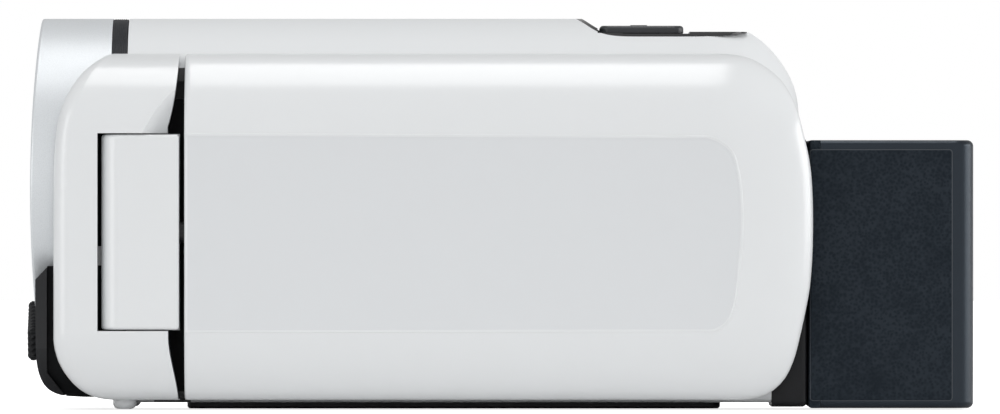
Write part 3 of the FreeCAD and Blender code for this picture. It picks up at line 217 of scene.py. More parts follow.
def satin(name, tone, rough, grain, depth, wear_to=None, wear=0.35, spec=0.5, tint=None):
    m = Mat(name, tone, rough, spec=spec)
    if tint:
        m.set(Specular_Tint=(*tint, 1.0))
    m.vary(size=5.0, amount=0.10)
    if wear_to:
        m.wear(wear_to, amount=wear)
    m.rough_vary(size=3.0, low=rough - 0.05, high=rough + 0.07)
    m.grain(size=grain, strength=0.35, depth=depth, detail=2.0)
    return m.material


def metal(name, tone, rough, stretch=(1.0, 1.0, 1.0), wear_to=None):
    m = Mat(name, tone, rough, metal=1.0)
    m.vary(size=3.0, amount=0.05)
    if wear_to:
        m.wear(wear_to)
    m.rough_vary(size=1.2, low=rough - 0.06, high=rough + 0.08)
    m.bump(m.noise(0.4, detail=3.0, stretch=stretch), strength=0.2, depth=0.01)
    return m.material


def silver_paint(name, tone):
    """Paint with fine metal flakes."""
    m = Mat(name, tone, rough=0.40, metal=0.30, coat=0.1, coat_rough=0.25)
    flakes = m.texture("ShaderNodeTexVoronoi", 0.11)
    low = tuple(c * 0.93 for c in tone)
    high = tuple(min(c * 1.05, 1) for c in tone)
    m.set(Base_Color=m.ramp(flakes.outputs["Distance"], [(0.1, high), (0.8, low)]))
    m.wear((0.80, 0.80, 0.80), amount=0.3, radius=0.3)
    m.rough_vary(size=2.0, low=0.37, high=0.44)
    m.grain(size=0.2, strength=0.08, depth=0.01)
    return m.material


def glass(name, tint, rough, alpha):
    """Coated glass: darker face-on, greenish at a glancing angle."""
    m = Mat(name, tint, rough, coat=1.0, coat_rough=0.02, spec=0.8)
    facing = m.node("ShaderNodeLayerWeight", Blend=0.35).outputs["Facing"]
    stops = [(0.0, tuple(c * 0.25 for c in tint)), (0.55, tint), (1.0, (0.25, 0.5, 0.42))]
    m.set(Base_Color=m.ramp(facing, stops), Alpha=alpha)
    m.rough_vary(size=4.0, low=rough * 0.6, high=rough * 1.6)
    return m.material


def grained_black(name):
    """Moulded black with a fine mottled grain that shows as faint paler flecks."""
    m = Mat(name, (0.0062, 0.0078, 0.0112), rough=0.44, spec=0.20)
    m.set(Specular_Tint=(0.62, 0.82, 1.0, 1.0))
    cells = m.texture("ShaderNodeTexVoronoi", 0.42, {"feature": "SMOOTH_F1"}).outputs["Distance"]
    flecks = math_node(m.tree, "MULTIPLY", cells, m.noise(5.0, detail=3.0))
    m.set(Base_Color=m.ramp(flecks, [(0.08, (0.0048, 0.0062, 0.0090)),
                                     (0.34, (0.0150, 0.0180, 0.0230))]))
    m.wear((0.045, 0.047, 0.055), amount=0.3)
    m.rough_vary(size=1.6, low=0.38, high=0.52)
    m.bump(cells, strength=0.5, depth=0.05)
    m.grain(size=0.16, strength=0.3, depth=0.02)
    return m.material


def gloss(name, tone):
    m = Mat(name, tone, rough=0.16, coat=0.12, coat_rough=0.06, spec=0.25)
    m.vary(size=4.0, amount=0.08)
    m.wear((0.05, 0.05, 0.055), amount=0.3, radius=0.25)
    m.rough_vary(size=6.0, low=0.13, high=0.20)
    m.grain(size=6.0, strength=0.05, depth=0.02, detail=1.0)
    return m.material


def circuit_board(name):
    m = Mat(name, (0.012, 0.075, 0.040), rough=0.35, coat=0.4)
    tracks = m.texture("ShaderNodeTexBrick", 2.6, Mortar_Size=0.03,
                       Color1=(0.010, 0.065, 0.034, 1), Color2=(0.014, 0.085, 0.046, 1),
                       Mortar=(0.035, 0.15, 0.08, 1))
    m.set(Base_Color=tracks.outputs["Color"])
    m.rough_vary(size=2.0, low=0.3, high=0.45)
    m.bump(tracks.outputs["Fac"], strength=0.3, depth=0.03)
    return m.material


def plain(name, tone, rough):
    return Mat(name, tone, rough).material


def cloth(name):
    """Woven cloth with threads both ways."""
    m = Mat(name, (0.016, 0.0165, 0.018), rough=0.9, spec=0.25)
    m.set(Sheen_Weight=0.35, Sheen_Roughness=0.45, Sheen_Tint=(0.5, 0.5, 0.52, 1))
    threads = [m.bands(axis, pitch=0.62, Distortion=0.5, Detail=1.0) for axis in "XZ"]
    weave = math_node(m.tree, "MAXIMUM", *threads)
    m.set(Base_Color=m.ramp(weave, [(0.15, (0.006, 0.006, 0.007)), (0.85, (0.030, 0.031, 0.034))]))
    m.wear((0.075, 0.075, 0.078), amount=0.4, radius=0.6)
    m.rough_vary(size=2.5, low=0.8, high=0.97)
    m.bump(weave, strength=0.8, depth=0.10)
    m.grain(size=3.0, strength=0.25, depth=0.2)
    return m.material


def webbing(name):
    """Coarser webbing with threads that run lengthwise."""
    m = Mat(name, (0.013, 0.0132, 0.0145), rough=0.8, spec=0.3)
    m.set(Sheen_Weight=0.2)
    threads = m.bands("Z", pitch=1.15, Distortion=0.7, Detail=2.0, Detail_Scale=3.0)
    m.set(Base_Color=m.ramp(threads, [(0.2, (0.007, 0.007, 0.008)), (0.8, (0.028, 0.028, 0.031))]))
    m.wear((0.07, 0.07, 0.072), amount=0.4, radius=0.4)
    m.rough_vary(size=2.0, low=0.7, high=0.9)
    m.bump(threads, strength=0.7, depth=0.08)
    return m.material


def sewing_thread(name):
    m = Mat(name, (0.05, 0.05, 0.054), rough=0.6)
    m.vary(size=0.8, amount=0.2)
    m.wear((0.14, 0.14, 0.14), amount=0.4, radius=0.1)
    m.rough_vary(size=0.6, low=0.5, high=0.7)
    m.grain(size=0.12, strength=0.5, depth=0.03)
    return m.material


# ------------------------------------------------------------------ materials of the CAD pieces
BRUSHED = (1.0, 1.0, 8.0)  # noise squeezed along Z
MATERIAL_TABLE = (  # slot name, kind, settings
    ("pearl_white", pearl, dict()),
    ("satin_black", satin, dict(tone=(0.0075, 0.0080, 0.0095), rough=0.42, grain=0.20, depth=0.018,
                                wear_to=(0.05, 0.05, 0.055), wear=0.25, spec=0.22)),
    ("satin_silver", silver_paint, dict(tone=(0.64, 0.665, 0.685))),
    ("ribbed_black", satin, dict(tone=(0.0085, 0.0105, 0.0140), rough=0.5, grain=0.3, depth=0.03,
                                 wear_to=(0.06, 0.06, 0.06), wear=0.2, spec=0.26)),
    ("coated_glass", glass, dict(tint=(0.16, 0.10, 0.30), rough=0.03, alpha=0.55)),
    ("screen_glass", glass, dict(tint=(0.02, 0.02, 0.025), rough=0.05, alpha=0.97)),
    ("nickel", metal, dict(tone=(0.62, 0.61, 0.58), rough=0.28)),
    ("steel", metal, dict(tone=(0.55, 0.55, 0.56), rough=0.30, stretch=BRUSHED,
                          wear_to=(0.7, 0.7, 0.7))),
    ("gilt", metal, dict(tone=(0.80, 0.56, 0.20), rough=0.25)),
    ("brass_plated", metal, dict(tone=(0.62, 0.58, 0.50), rough=0.30, stretch=(1.0, 1.0, 14.0))),
    ("black_screw", metal, dict(tone=(0.06, 0.06, 0.06), rough=0.38, wear_to=(0.35, 0.34, 0.33))),
    ("chip_black", satin, dict(tone=(0.02, 0.02, 0.02), rough=0.5, grain=0.15, depth=0.02)),
    ("record_grey", satin, dict(tone=(0.045, 0.045, 0.048), rough=0.36, grain=0.3, depth=0.015,
                                wear_to=(0.2, 0.2, 0.2), wear=0.3)),
    ("battery_black", grained_black, dict()),
    ("cell_wrap", metal, dict(tone=(0.25, 0.30, 0.38), rough=0.4)),
    ("gloss_black", gloss, dict(tone=(0.0065, 0.0070, 0.0085))),
    ("board_green", circuit_board, dict()),
    ("strap_cloth", plain, dict(tone=(0.012, 0.012, 0.013), rough=0.85)),
)
MATS = {name: kind(name, **settings) for name, kind, settings in MATERIAL_TABLE}


def dress(ob, mat):
    """Makes one material the only one on an object."""
    ob.data.materials.clear()
    ob.data.materials.append(mat)


for part in frame["record"]["subparts"]:
    dress(nodes[part["node"]], MATS[part["material_slot"]])

SLIT = (-39.6, -34.2, -15.5)  # x from, x to and greatest y of the slit where shade is painted
battery_shell = satin("battery_shell", tone=(0.0075, 0.0095, 0.0135), rough=0.30, grain=0.30,
                      depth=0.03, wear_to=(0.045, 0.047, 0.055), wear=0.25, spec=0.42,
                      tint=(0.72, 0.86, 1.0))
# painted highlight: a paler black for the bevelled rim of the battery panel
battery_rim_painted_highlight = satin("battery_rim_painted_highlight", tone=(0.040, 0.047, 0.056), rough=0.40, grain=0.20,
                     depth=0.01, wear_to=(0.09, 0.09, 0.10), wear=0.2, spec=0.3)
# painted shade: a darker copy of satin black for the front housing and bay panel, which sit in
# shade
painted_shade_black = satin("painted_shade_black", tone=(0.0040, 0.0042, 0.0050), rough=0.55, grain=0.22,
                   depth=0.02, wear_to=(0.02, 0.02, 0.022), wear=0.2, spec=0.10)
lever_grey = satin("lever_grey", tone=(0.026, 0.029, 0.033), rough=0.34, grain=0.20,
                   depth=0.015, wear_to=(0.09, 0.09, 0.10), wear=0.3, spec=0.45)
# painted shade: steel darkened near to black for the shaft and pin seen through the hinge gaps;
# the paler edges are wear
shade_darkened_steel = metal("shade_darkened_steel", tone=(0.035, 0.035, 0.036), rough=0.42, stretch=BRUSHED,
                   wear_to=(0.10, 0.10, 0.10))
# pearl copies with painted shade in the hinge slit
slit_shaded_white = pearl("pearl_white_painted_slit_shade", painted_slit_shade=SLIT)
slit_shaded_satin = pearl("pearl_white_satin", painted_slit_shade=SLIT, rough=0.52, coat=0.0, spec=0.28)
for name, mat in (
    ("front_housing", painted_shade_black), ("tilt_shaft", shade_darkened_steel), ("hinge_pin", shade_darkened_steel),
    ("bay_panel", painted_shade_black), ("top_cover", slit_shaded_satin), ("grip_side_shell", slit_shaded_white),
    ("battery_case", battery_shell), ("zoom_lever", lever_grey),
):
    dress(nodes[name], mat)


# ------------------------------------------------------------------ mesh helpers
def add_mesh(name, verts, faces, mat, merge=True, smooth=True, sharp=35.0):
    """A mesh object from points in millimetres; sharp is an angle in degrees, or None."""
    mesh = bpy.data.meshes.new(name)
    mesh.from_pydata([Vector(v) * MM for v in verts], [], faces)
    bm = bmesh.new()
    bm.from_mesh(mesh)
    if merge:
        bmesh.ops.remove_doubles(bm, verts=bm.verts, dist=1e-6)
        bmesh.ops.dissolve_degenerate(bm, edges=bm.edges, dist=1e-7)
    bmesh.ops.recalc_face_normals(bm, faces=bm.faces)
    bm.to_mesh(mesh)
    bm.free()
    if smooth:
        smooth_all(mesh)
        if sharp is not None:
            mesh.set_sharp_from_angle(angle=math.radians(sharp))
    mesh.materials.append(mat)
    return add_object(name, mesh)


def smooth_all(mesh):
    mesh.polygons.foreach_set("use_smooth", [True] * len(mesh.polygons))


def add_object(name, data):
    ob = bpy.data.objects.new(name, data)
    scene.collection.objects.link(ob)
    return ob


def settle(ob):
    """Applies an object's modifiers to its mesh."""
    bpy.context.view_layer.update()
    graph = bpy.context.evaluated_depsgraph_get()
    mesh = bpy.data.meshes.new_from_object(ob.evaluated_get(graph))
    mats = list(ob.data.materials)
    ob.modifiers.clear()
    ob.data = mesh
    if not mesh.materials:
        for mat in mats:
            mesh.materials.append(mat)


def carve(ob, *tools):
    for tool in tools:
        cut = ob.modifiers.new("cut", "BOOLEAN")
        cut.operation, cut.solver, cut.object = "DIFFERENCE", "EXACT", tool
    settle(ob)
    for tool in tools:
        bpy.data.objects.remove(tool, do_unlink=True)


def prism(name, outline, y0, y1, mat):
    """A solid from an outline of (x, z) points between two depths."""
    n = len(outline)
    verts = [(x, y, z) for y in (y0, y1) for x, z in outline]
    faces = [tuple(range(n)), tuple(range(2 * n - 1, n - 1, -1))]
    faces += [(i, (i + 1) % n, n + (i + 1) % n, n + i) for i in range(n)]
    return add_mesh(name, verts, faces, mat)


def catmull(points, per=8):
    """A smooth run through points of any size."""
    padded = [points[0]] + list(points) + [points[-1]]
    out = []
    for before, start, end, after in zip(padded, padded[1:], padded[2:], padded[3:]):
        for k in range(per):
            t = k / per
            out.append(tuple(
                0.5 * (2 * b + (c - a) * t + (2 * a - 5 * b + 4 * c - d) * t * t
                       + (3 * b - a - 3 * c + d) * t ** 3)
                for a, b, c, d in zip(before, start, end, after)))
    out.append(tuple(points[-1]))
    return out


def tube_faces(base, count, n):
    """The faces between neighbouring closed rings of n points, from vertex number base on."""
    faces = []
    for k in range(count - 1):
        a, b = base + k * n, base + (k + 1) * n
        faces += [(a + i, a + (i + 1) % n, b + (i + 1) % n, b + i) for i in range(n)]
    return faces


def loft(name, rings, mat, loop=False):
    """A skin through rings of equal length, capped at both ends or joined into a loop."""
    if loop:
        rings = rings + [rings[0]]
    n = len(rings[0])
    faces = tube_faces(0, len(rings), n)
    if not loop:
        faces += [tuple(range(n)), tuple(range((len(rings) - 1) * n, len(rings) * n))]
    return add_mesh(name, [v for ring in rings for v in ring], faces, mat)


def join(name, parts, mat):
    bm = bmesh.new()
    for part in parts:
        bm.from_mesh(part.data)
    mesh = bpy.data.meshes.new(name)
    bm.to_mesh(mesh)
    bm.free()
    mesh.materials.append(mat)
    mesh.set_sharp_from_angle(angle=math.radians(35))
    ob = add_object(name, mesh)
    for part in parts:
        bpy.data.objects.remove(part, do_unlink=True)
    return ob


def ring_x(x, y, z, radius, count):
    """A circle of points about a line parallel to X."""
    turns = [2 * math.pi * k / count for k in range(count)]
    return [(x, y + radius * math.cos(a), z + radius * math.sin(a)) for a in turns]


def smoothstep(a, b, value):
    t = min(max((value - a) / (b - a), 0.0), 1.0)
    return t * t * (3 - 2 * t)


# ------------------------------------------------------------------ screen panel skin
# Rounded +X end of the panel, as (x, z) from top to bottom.
OUTLINE = [
    (43.7, 52.9), (48.2, 52.3), (51.2, 50.8), (53.4, 48.9), (54.9, 46.6), (55.9, 44.1),
    (56.5, 41.9), (56.95, 40.0), (57.5, 37.6), (57.9, 34.7), (58.1, 31.2), (58.15, 27.3),
    (58.05, 22.7), (57.7, 18.2), (57.1, 14.8), (56.3, 11.1), (55.5, 7.9), (54.4, 5.2),
    (53.1, 3.5), (51.8, 2.5), (50.2, 1.8), (47.4, 1.2), (44.6, 0.9),
]
# Crease round the flat field of the face, as (x, z) from top to bottom.
CREASE = [
    (42.7, 40.55), (44.57, 39.75), (46.35, 38.1), (47.2, 35.3), (47.62, 32.5), (47.82, 28.6),
    (47.75, 25.1), (47.5, 22.4), (47.2, 19.3), (46.78, 16.2), (46.1, 13.9), (45.0, 12.3),
    (43.4, 11.45),
]
# Cross-section of the crease: inset towards the field, and y relative to the face.
CREASE_SECTION = ((0.0, 0.0), (0.11, -0.07), (0.26, -0.075), (0.42, 0.0), (0.9, 0.0))
FACE_Y, BACK_Y, RIM_Y = -25.4, -17.6, -17.9
HINGE_X, HINGE_ROUND = -35.0, 0.5  # hinge end of the panel and the rounding of its edge
RUN_X = -60.0                      # both runs start and end beyond the hinge end
SPLIT_X, PIVOT_Z = 36.0, 26.2      # columns up to here, then a fan about this point
STRAIGHT_X = SPLIT_X - 20.0        # the outline's straight top and bottom edges end here
Z_LOW, Z_HIGH = 1.35, 52.75
FAN_STEPS, ROUND_STEPS = 72, 22
SIDE_DEPTH, TOP_DEPTH, LOW_DEPTH = 4.0, 10.45, 4.6  # depth in y of the rounding
EDGE_SLANT = 0.55
RIM_RADIUS = 24.06                 # the top of the rim follows the barrel round the optical axis

OUTLINE_RUN = [(RUN_X, 52.9), (STRAIGHT_X, 52.9)] + catmull(OUTLINE, 10)
OUTLINE_RUN += [(STRAIGHT_X, 0.9), (RUN_X, 0.9)]
OUTLINE_RUN = [(x, min(max(z, Z_LOW), Z_HIGH)) for x, z in OUTLINE_RUN]
CREASE_RUN = [(RUN_X, 41.05)] + catmull(CREASE, 10) + [(RUN_X, 11.25)]


def ray_hit(run, angle):
    """Where a ray from the pivot meets a run, as (x, z)."""
    dx, dz = math.cos(angle), math.sin(angle)
    best = None
    for (x0, z0), (x1, z1) in zip(run, run[1:]):
        ex, ez = x1 - x0, z1 - z0
        cross = dx * ez - dz * ex
        if abs(cross) < 1e-9:
            continue
        wx, wz = x0 - SPLIT_X, z0 - PIVOT_Z
        t = (wx * ez - wz * ex) / cross
        u = (wx * dz - wz * dx) / cross
        if t > 0 and -1e-6 <= u <= 1 + 1e-6 and (best is None or t > best):
            best = t
    return SPLIT_X + best * dx, PIVOT_Z + best * dz


def level(run, x, pick):
    """The height of a run at x; pick is max for its upper side and min for its lower."""
    heights = []
    for (x0, z0), (x1, z1) in zip(run, run[1:]):
        if min(x0, x1) - 1e-9 <= x <= max(x0, x1) + 1e-9 and abs(x1 - x0) > 1e-9:
            heights.append(z0 + (z1 - z0) * (x - x0) / (x1 - x0))
    return pick(heights)


def hinge_set_back(x):
    """How far the face is set back in y by the rounded hinge edge."""
    u = min(max((HINGE_X + HINGE_ROUND - x) / HINGE_ROUND, 0.0), 1.0)
    return HINGE_ROUND * (1 - math.sqrt(max(1 - u * u, 0.0)))


def rounded_ring(pairs, fraction):
    """One ring of the rounding, from the crease (fraction 0) out to the outline (1)."""
    angle = fraction * math.pi / 2
    out = math.sin(angle)
    ring = []
    for outer, crease in pairs:
        up = smoothstep(42.0, 52.4, outer[1])
        low = smoothstep(9.0, 2.2, outer[1]) * (1 - up)
        depth = SIDE_DEPTH + up * (TOP_DEPTH - SIDE_DEPTH) + low * (LOW_DEPTH - SIDE_DEPTH)
        x = crease[0] + (outer[0] - crease[0]) * out
        z = crease[1] + (outer[1] - crease[1]) * out
        y = FACE_Y + (depth - EDGE_SLANT) * (1 - math.cos(angle)) + EDGE_SLANT * out
        back = hinge_set_back(x)
        ring.append((x, y + back, PIVOT_Z + (z - PIVOT_Z) * (1 - back / 24.0)))
    return ring


def crease_ring(pairs, inset, lift):
    ring = []
    for outer, crease in pairs:
        inward = Vector((crease[0] - outer[0], crease[1] - outer[1]))
        inward.normalize()
        x, z = crease[0] + inward.x * inset, crease[1] + inward.y * inset
        ring.append((x, FACE_Y + lift + hinge_set_back(x), z))
    return ring


def rim_rings(pairs):
    """The back edge of the panel: its inner border, then the rim."""
    inner, rim = [], []
    for (x, outer_z), _ in pairs:
        z = min(outer_z, 51.6)
        y = RIM_Y
        if z > 44.0:
            barrel = math.sqrt(max(RIM_RADIUS ** 2 - (z - AXIS_Z) ** 2, 0.0))
            y = max(AXIS_Y - barrel, RIM_Y)
        rim.append((x, y, z))
        pull = 0.3 if x > SPLIT_X else 0.0
        inner.append((x - pull, BACK_Y, min(max(outer_z, Z_LOW + 0.25), 48.45)))
    return [inner, rim]


def make_screen_skin(mat, shaded_field_mat):
    columns = [HINGE_X + d for d in (0.0, 0.04, 0.15, 0.3, 0.5, 1.0)]
    columns += [-32.0 + 2.0 * i for i in range(34)] + [SPLIT_X]
    angles = [math.pi / 2 - math.pi * k / FAN_STEPS for k in range(1, FAN_STEPS)]
    # Matching (x, z) points on the outline and the crease: top edge, fan, bottom edge.
    runs = (OUTLINE_RUN, CREASE_RUN)
    pairs = [tuple((x, level(run, x, max)) for run in runs) for x in columns]
    pairs += [tuple(ray_hit(run, a) for run in runs) for a in angles]
    pairs += [tuple((x, level(run, x, min)) for run in runs) for x in reversed(columns)]

    rings = rim_rings(pairs)
    rings += [rounded_ring(pairs, 1.0 - k / ROUND_STEPS) for k in range(ROUND_STEPS)]
    rings += [crease_ring(pairs, inset, lift) for inset, lift in CREASE_SECTION]
    total, n = len(pairs), len(columns)
    faces = []
    for k in range(len(rings) - 1):
        a, b = k * total, (k + 1) * total
        faces += [(a + j, a + j + 1, b + j + 1, b + j) for j in range(total - 1)]
    # The flat field: strips between the columns, then one face inside the fan.
    last = (len(rings) - 1) * total
    for i in range(n - 1):
        faces.append((last + i, last + i + 1, last + total - 2 - i, last + total - 1 - i))
    faces.append(tuple(last + j for j in range(n - 1, total - n + 1)))
    # The back, then the hinge end.
    faces.append(tuple(range(total)))
    starts = [k * total for k in range(len(rings))]
    faces.append(tuple(starts + [s + total - 1 for s in reversed(starts)]))

    ob = add_mesh("screen_panel_skin", [v for r in rings for v in r], faces, mat, sharp=28.0)
    # the flat field gets a darker pearl, painted shade
    ob.data.materials.append(shaded_field_mat)
    for face in ob.data.polygons:
        center = face.center / MM
        if abs(center.y - FACE_Y) < 0.004 and 10.0 < center.z < 42.0:
            face.material_index = 1
    return ob


def inset_run(points, distance):
    out = []
    for i, (x, z) in enumerate(points):
        a, b = points[max(i - 1, 0)], points[min(i + 1, len(points) - 1)]
        along = Vector((b[0] - a[0], b[1] - a[1])).normalized()
        out.append((x + distance * along.y, z - distance * along.x))
    return out


def hollow_screen_skin(skin):
    """Cuts a shallow pocket to the outline, a deeper rectangular one and the hinge bore."""
    mat = MATS["pearl_white"]
    left, right, bottom, top = -33.6, 56.3, 2.7, 47.5
    edge = [(min(x, right), min(max(z, bottom), top)) for x, z in inset_run(OUTLINE, 1.6)]
    outline = [(left, top)]
    for point in edge + [(left, bottom)]:
        if (Vector(point) - Vector(outline[-1])).length > 0.05:
            outline.append(point)
    pocket = prism("pocket", outline, -19.0, -10.0, mat)
    box = [(-23.3, 7.7), (44.7, 7.7), (44.7, 46.7), (-23.3, 46.7)]
    deep_pocket = prism("pocket2", box, -21.1, -10.0, mat)
    bore_ends = [ring_x(x, y=-22.6, z=26.25, radius=1.66, count=24) for x in (-36.0, -30.1)]
    carve(skin, pocket, deep_pocket, loft("bore", bore_ends, mat))


# painted shade: a darker copy of the pearl for the panel's flat field
painted_shade_field = pearl("pearl_field_painted_shade", tone=(0.624, 0.640, 0.655))
skin = make_screen_skin(MATS["pearl_white"], painted_shade_field)
hollow_screen_skin(skin)
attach(skin, "screen")
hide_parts("screen_cover")


# ------------------------------------------------------------------ details round the optical axis
def outward(deg):
    return Vector((0, math.cos(math.radians(deg)), math.sin(math.radians(deg))))


def sideways(deg):
    return Vector((0, -math.sin(math.radians(deg)), math.cos(math.radians(deg))))


def polar(radius, deg, x):
    """A point at a radius and angle about the optical axis."""
    a = math.radians(deg)
    return Vector((x, AXIS_Y + radius * math.cos(a), AXIS_Z + radius * math.sin(a)))


STUD_SINK, STUD_RISE, STUD_TOP = 0.12, 0.22, 0.3  # depth, height, top size over base size
CORNERS = ((-1, -1), (1, -1), (1, 1), (-1, 1))


def studs(name, cells, mat):
    """Blunt pyramids from (centre, u, v, normal) cells; the base sinks into its part."""
    verts, faces = [], []
    for center, u, v, normal in cells:
        base = len(verts)
        for size, lift in ((1, -STUD_SINK), (1, 0.0), (STUD_TOP, STUD_RISE)):
            verts += [center + u * su * size + v * sv * size + normal * lift
                      for su, sv in CORNERS]
        faces.append((base, base + 3, base + 2, base + 1))
        faces += tube_faces(base, 3, 4)
        faces.append((base + 8, base + 9, base + 10, base + 11))
    return add_mesh(name, verts, faces, mat, merge=False, smooth=False)


def make_knob_knurl():
    """Studs on the end face and the four sides of the cover knob."""
    knob_deg, side_deg, knob_radius = -56.0, 9.3, 27.7
    end_x, curved_x, flat_x = -59.0, -58.35, -58.3
    along_x = Vector((0.42, 0, 0))
    cells = []
    for i in range(9):
        deg = knob_deg - 8.0 + 2.0 * i
        rad, tan = outward(deg), sideways(deg)
        for k in range(5):
            center = polar(knob_radius - 1.84 + 0.92 * k, deg, end_x)
            cells.append((center, rad * 0.40, tan * 0.42, Vector((-1, 0, 0))))
        cells.append((polar(knob_radius - 2.5, deg, curved_x), tan * 0.36, along_x, -rad))
        cells.append((polar(knob_radius + 2.5, deg, curved_x), tan * 0.42, along_x, rad))
    for side in (-1, 1):
        deg = knob_deg + side * side_deg
        for k in range(4):
            center = polar(knob_radius - 1.5 + 1.0 * k, deg, flat_x)
            cells.append((center, outward(deg) * 0.40, along_x, sideways(deg) * side))
    return studs("knob_knurl", cells, MATS["satin_black"])


def make_trim_hoops():
    """Six fine part-hoops side by side round the barrel."""
    width, inner, outer = 0.15, 23.5, 23.77
    start_deg, end_deg, steps = -29.0, 158.0, 72
    shoulder, soft = outer - (outer - inner) * 0.35, width * 0.25
    ribs = []
    for k in range(6):
        x = -45.72 + 0.31 * k
        section = ((inner, x), (shoulder, x), (outer, x + soft),
                   (outer, x + width - soft), (shoulder, x + width), (inner, x + width))
        rings = []
        for step in range(steps + 1):
            deg = start_deg + (end_deg - start_deg) * step / steps
            rings.append([polar(radius, deg, at_x) for radius, at_x in section])
        ribs.append(loft("rib_%d" % k, rings, MATS["ribbed_black"]))
    return join("trim_band_ribs", ribs, MATS["ribbed_black"])


def make_baffle():
    """Ridges on the cone round the front glass."""
    section = ((0.28, -0.10), (-0.02, -0.34), (-0.26, -0.12), (-0.1, 0.25))  # radius, x
    ridges = []
    for k in range(4):
        t = (k + 0.6) / 4.6
        x, radius = -55.6 + 2.2 * t, 20.2 - 4.6 * t
        rings = [[polar(radius + dr, 360.0 * m / 96, x + dx) for dr, dx in section]
                 for m in range(96)]
        ridges.append(loft("baffle_%d" % k, rings, MATS["ribbed_black"], loop=True))
    return join("lens_baffle_ridges", ridges, MATS["ribbed_black"])


knurl = make_knob_knurl()
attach(knurl, "cover_knob")
hoops = make_trim_hoops()
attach(hoops, "casing")
baffle = make_baffle()
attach(baffle, "casing")


# ------------------------------------------------------------------ battery panel and buttons
def make_battery_panel():
    """A thin plate on the battery's -Y side, with rounded corners and a bevelled rim painted paler
    as a highlight.
    """
    x0, x1, z0, z1 = 57.75, 78.97, 1.15, 38.55
    base_y, lift, corner, bevel = -16.3, 0.16, 0.5, 0.28

    def outline(inset, y):
        r = max(corner - inset, 0.05)
        right, left = x1 - inset - r, x0 + inset + r
        top, bottom = z1 - inset - r, z0 + inset + r
        points = []
        for cx, cz, start in ((right, top, 0), (left, top, 90), (left, bottom, 180),
                              (right, bottom, 270)):
            for k in range(7):
                a = math.radians(start + 15 * k)
                points.append((cx + r * math.cos(a), y, cz + r * math.sin(a)))
        return points

    top_y = base_y - lift
    rings = [outline(0, base_y + 0.25), outline(0, base_y - lift * 0.4),
             outline(bevel * 0.5, base_y - lift * 0.85), outline(bevel, top_y),
             outline(bevel + 0.15, top_y)]
    ob = loft("battery_side_panel", rings, MATS["battery_black"])
    # the bevel faces get the paler black, a painted highlight
    ob.data.materials.append(battery_rim_painted_highlight)
    for face in ob.data.polygons:
        if face.center.y / MM > top_y + 0.005 and abs(face.normal.y) < 0.98:
            face.material_index = 1
    return ob


def make_record_dot():
    """A raised red disc on the record button, facing +X."""
    mat = satin("record_dot_red", tone=(0.34, 0.02, 0.018), rough=0.35, grain=0.3, depth=0.01,
                wear_to=(0.5, 0.2, 0.15), wear=0.2)
    profile = ((57.1, 1.25), (57.36, 1.25), (57.42, 1.1), (57.42, 0.02))  # x, radius
    rings = [ring_x(x, y=19.7, z=31.0, radius=radius, count=36) for x, radius in profile]
    return loft("record_button_dot", rings, mat)


def make_power_surround():
    """A raised silver ring round the power button, facing -Y."""
    center_x, center_z = -20.0, 39.0
    section = ((3.35, -17.1), (3.35, -17.28), (3.5, -17.34), (3.75, -17.34), (3.9, -17.28),
               (3.9, -17.1))  # radius, y
    rings = []
    for k in range(48):
        a = 2 * math.pi * k / 48
        rings.append([(center_x + radius * math.cos(a), y, center_z + radius * math.sin(a))
                      for radius, y in section])
    return loft("power_button_surround", rings, MATS["satin_silver"], loop=True)


panel = make_battery_panel()
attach(panel, "battery")
dot = make_record_dot()
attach(dot, "record_key")
surround = make_power_surround()
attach(surround, "casing")

# ------------------------------------------------------------------ hand strap
# Inner face of the strap along its length, as (x, y).
INNER_FACE = [(-32.9, 26.1), (-24.0, 26.3), (-8.0, 26.7), (6.25, 26.85), (20.5, 26.7),
              (36.5, 26.3), (45.4, 26.1)]
SEWN_FRONT, SEWN_REAR = -20.5, 33.0   # the pad is sewn flat beyond these x
STRAP_Z = 25.8                        # middle of the strap
STRAP_HALF, STRAP_END_HALF = 11.4, 7.9  # half height along the strap and at its ends
TAPER = 8.0
HALF_THICK = 1.2                      # inner face to the middle of the thickness
PAD_SHRINK = 0.5                      # the pad stops short of the strap's outline by this
SIM_SCALE = 20.0                      # the cloth is simulated this much enlarged
SIM_FRAMES = 20
PUFF_LIMIT = 0.0017                   # greatest bulge, in metres


def strap_y(x):
    for (x0, y0), (x1, y1) in zip(INNER_FACE, INNER_FACE[1:]):
        if x0 <= x <= x1:
            return y0 + (y1 - y0) * (x - x0) / (x1 - x0)
    return INNER_FACE[0][1] if x < INNER_FACE[0][0] else INNER_FACE[-1][1]


def strap_half(x):
    """Half height of the strap at x."""
    from_end = min(x + 33.2, 45.7 - x)
    if from_end >= TAPER:
        return STRAP_HALF
    return STRAP_END_HALF + (STRAP_HALF - STRAP_END_HALF) * smoothstep(0.0, TAPER, from_end)


def pad_section(x):
    """A section with rounded ends, up the outer face and down the inner one."""
    y = strap_y(x) + HALF_THICK
    half, radius, count = strap_half(x) - PAD_SHRINK, 1.0, 26
    points = []
    for side in (1, -1):
        for k in range(count):
            z = side * (-half + 2 * half * k / (count - 1))
            into_end = max(abs(z) - (half - radius), 0.0)
            bulge = math.sqrt(max(radius * radius - into_end * into_end, 0.0))
            points.append((x, y + side * bulge + side * 1e-4, STRAP_Z + z))
    return points


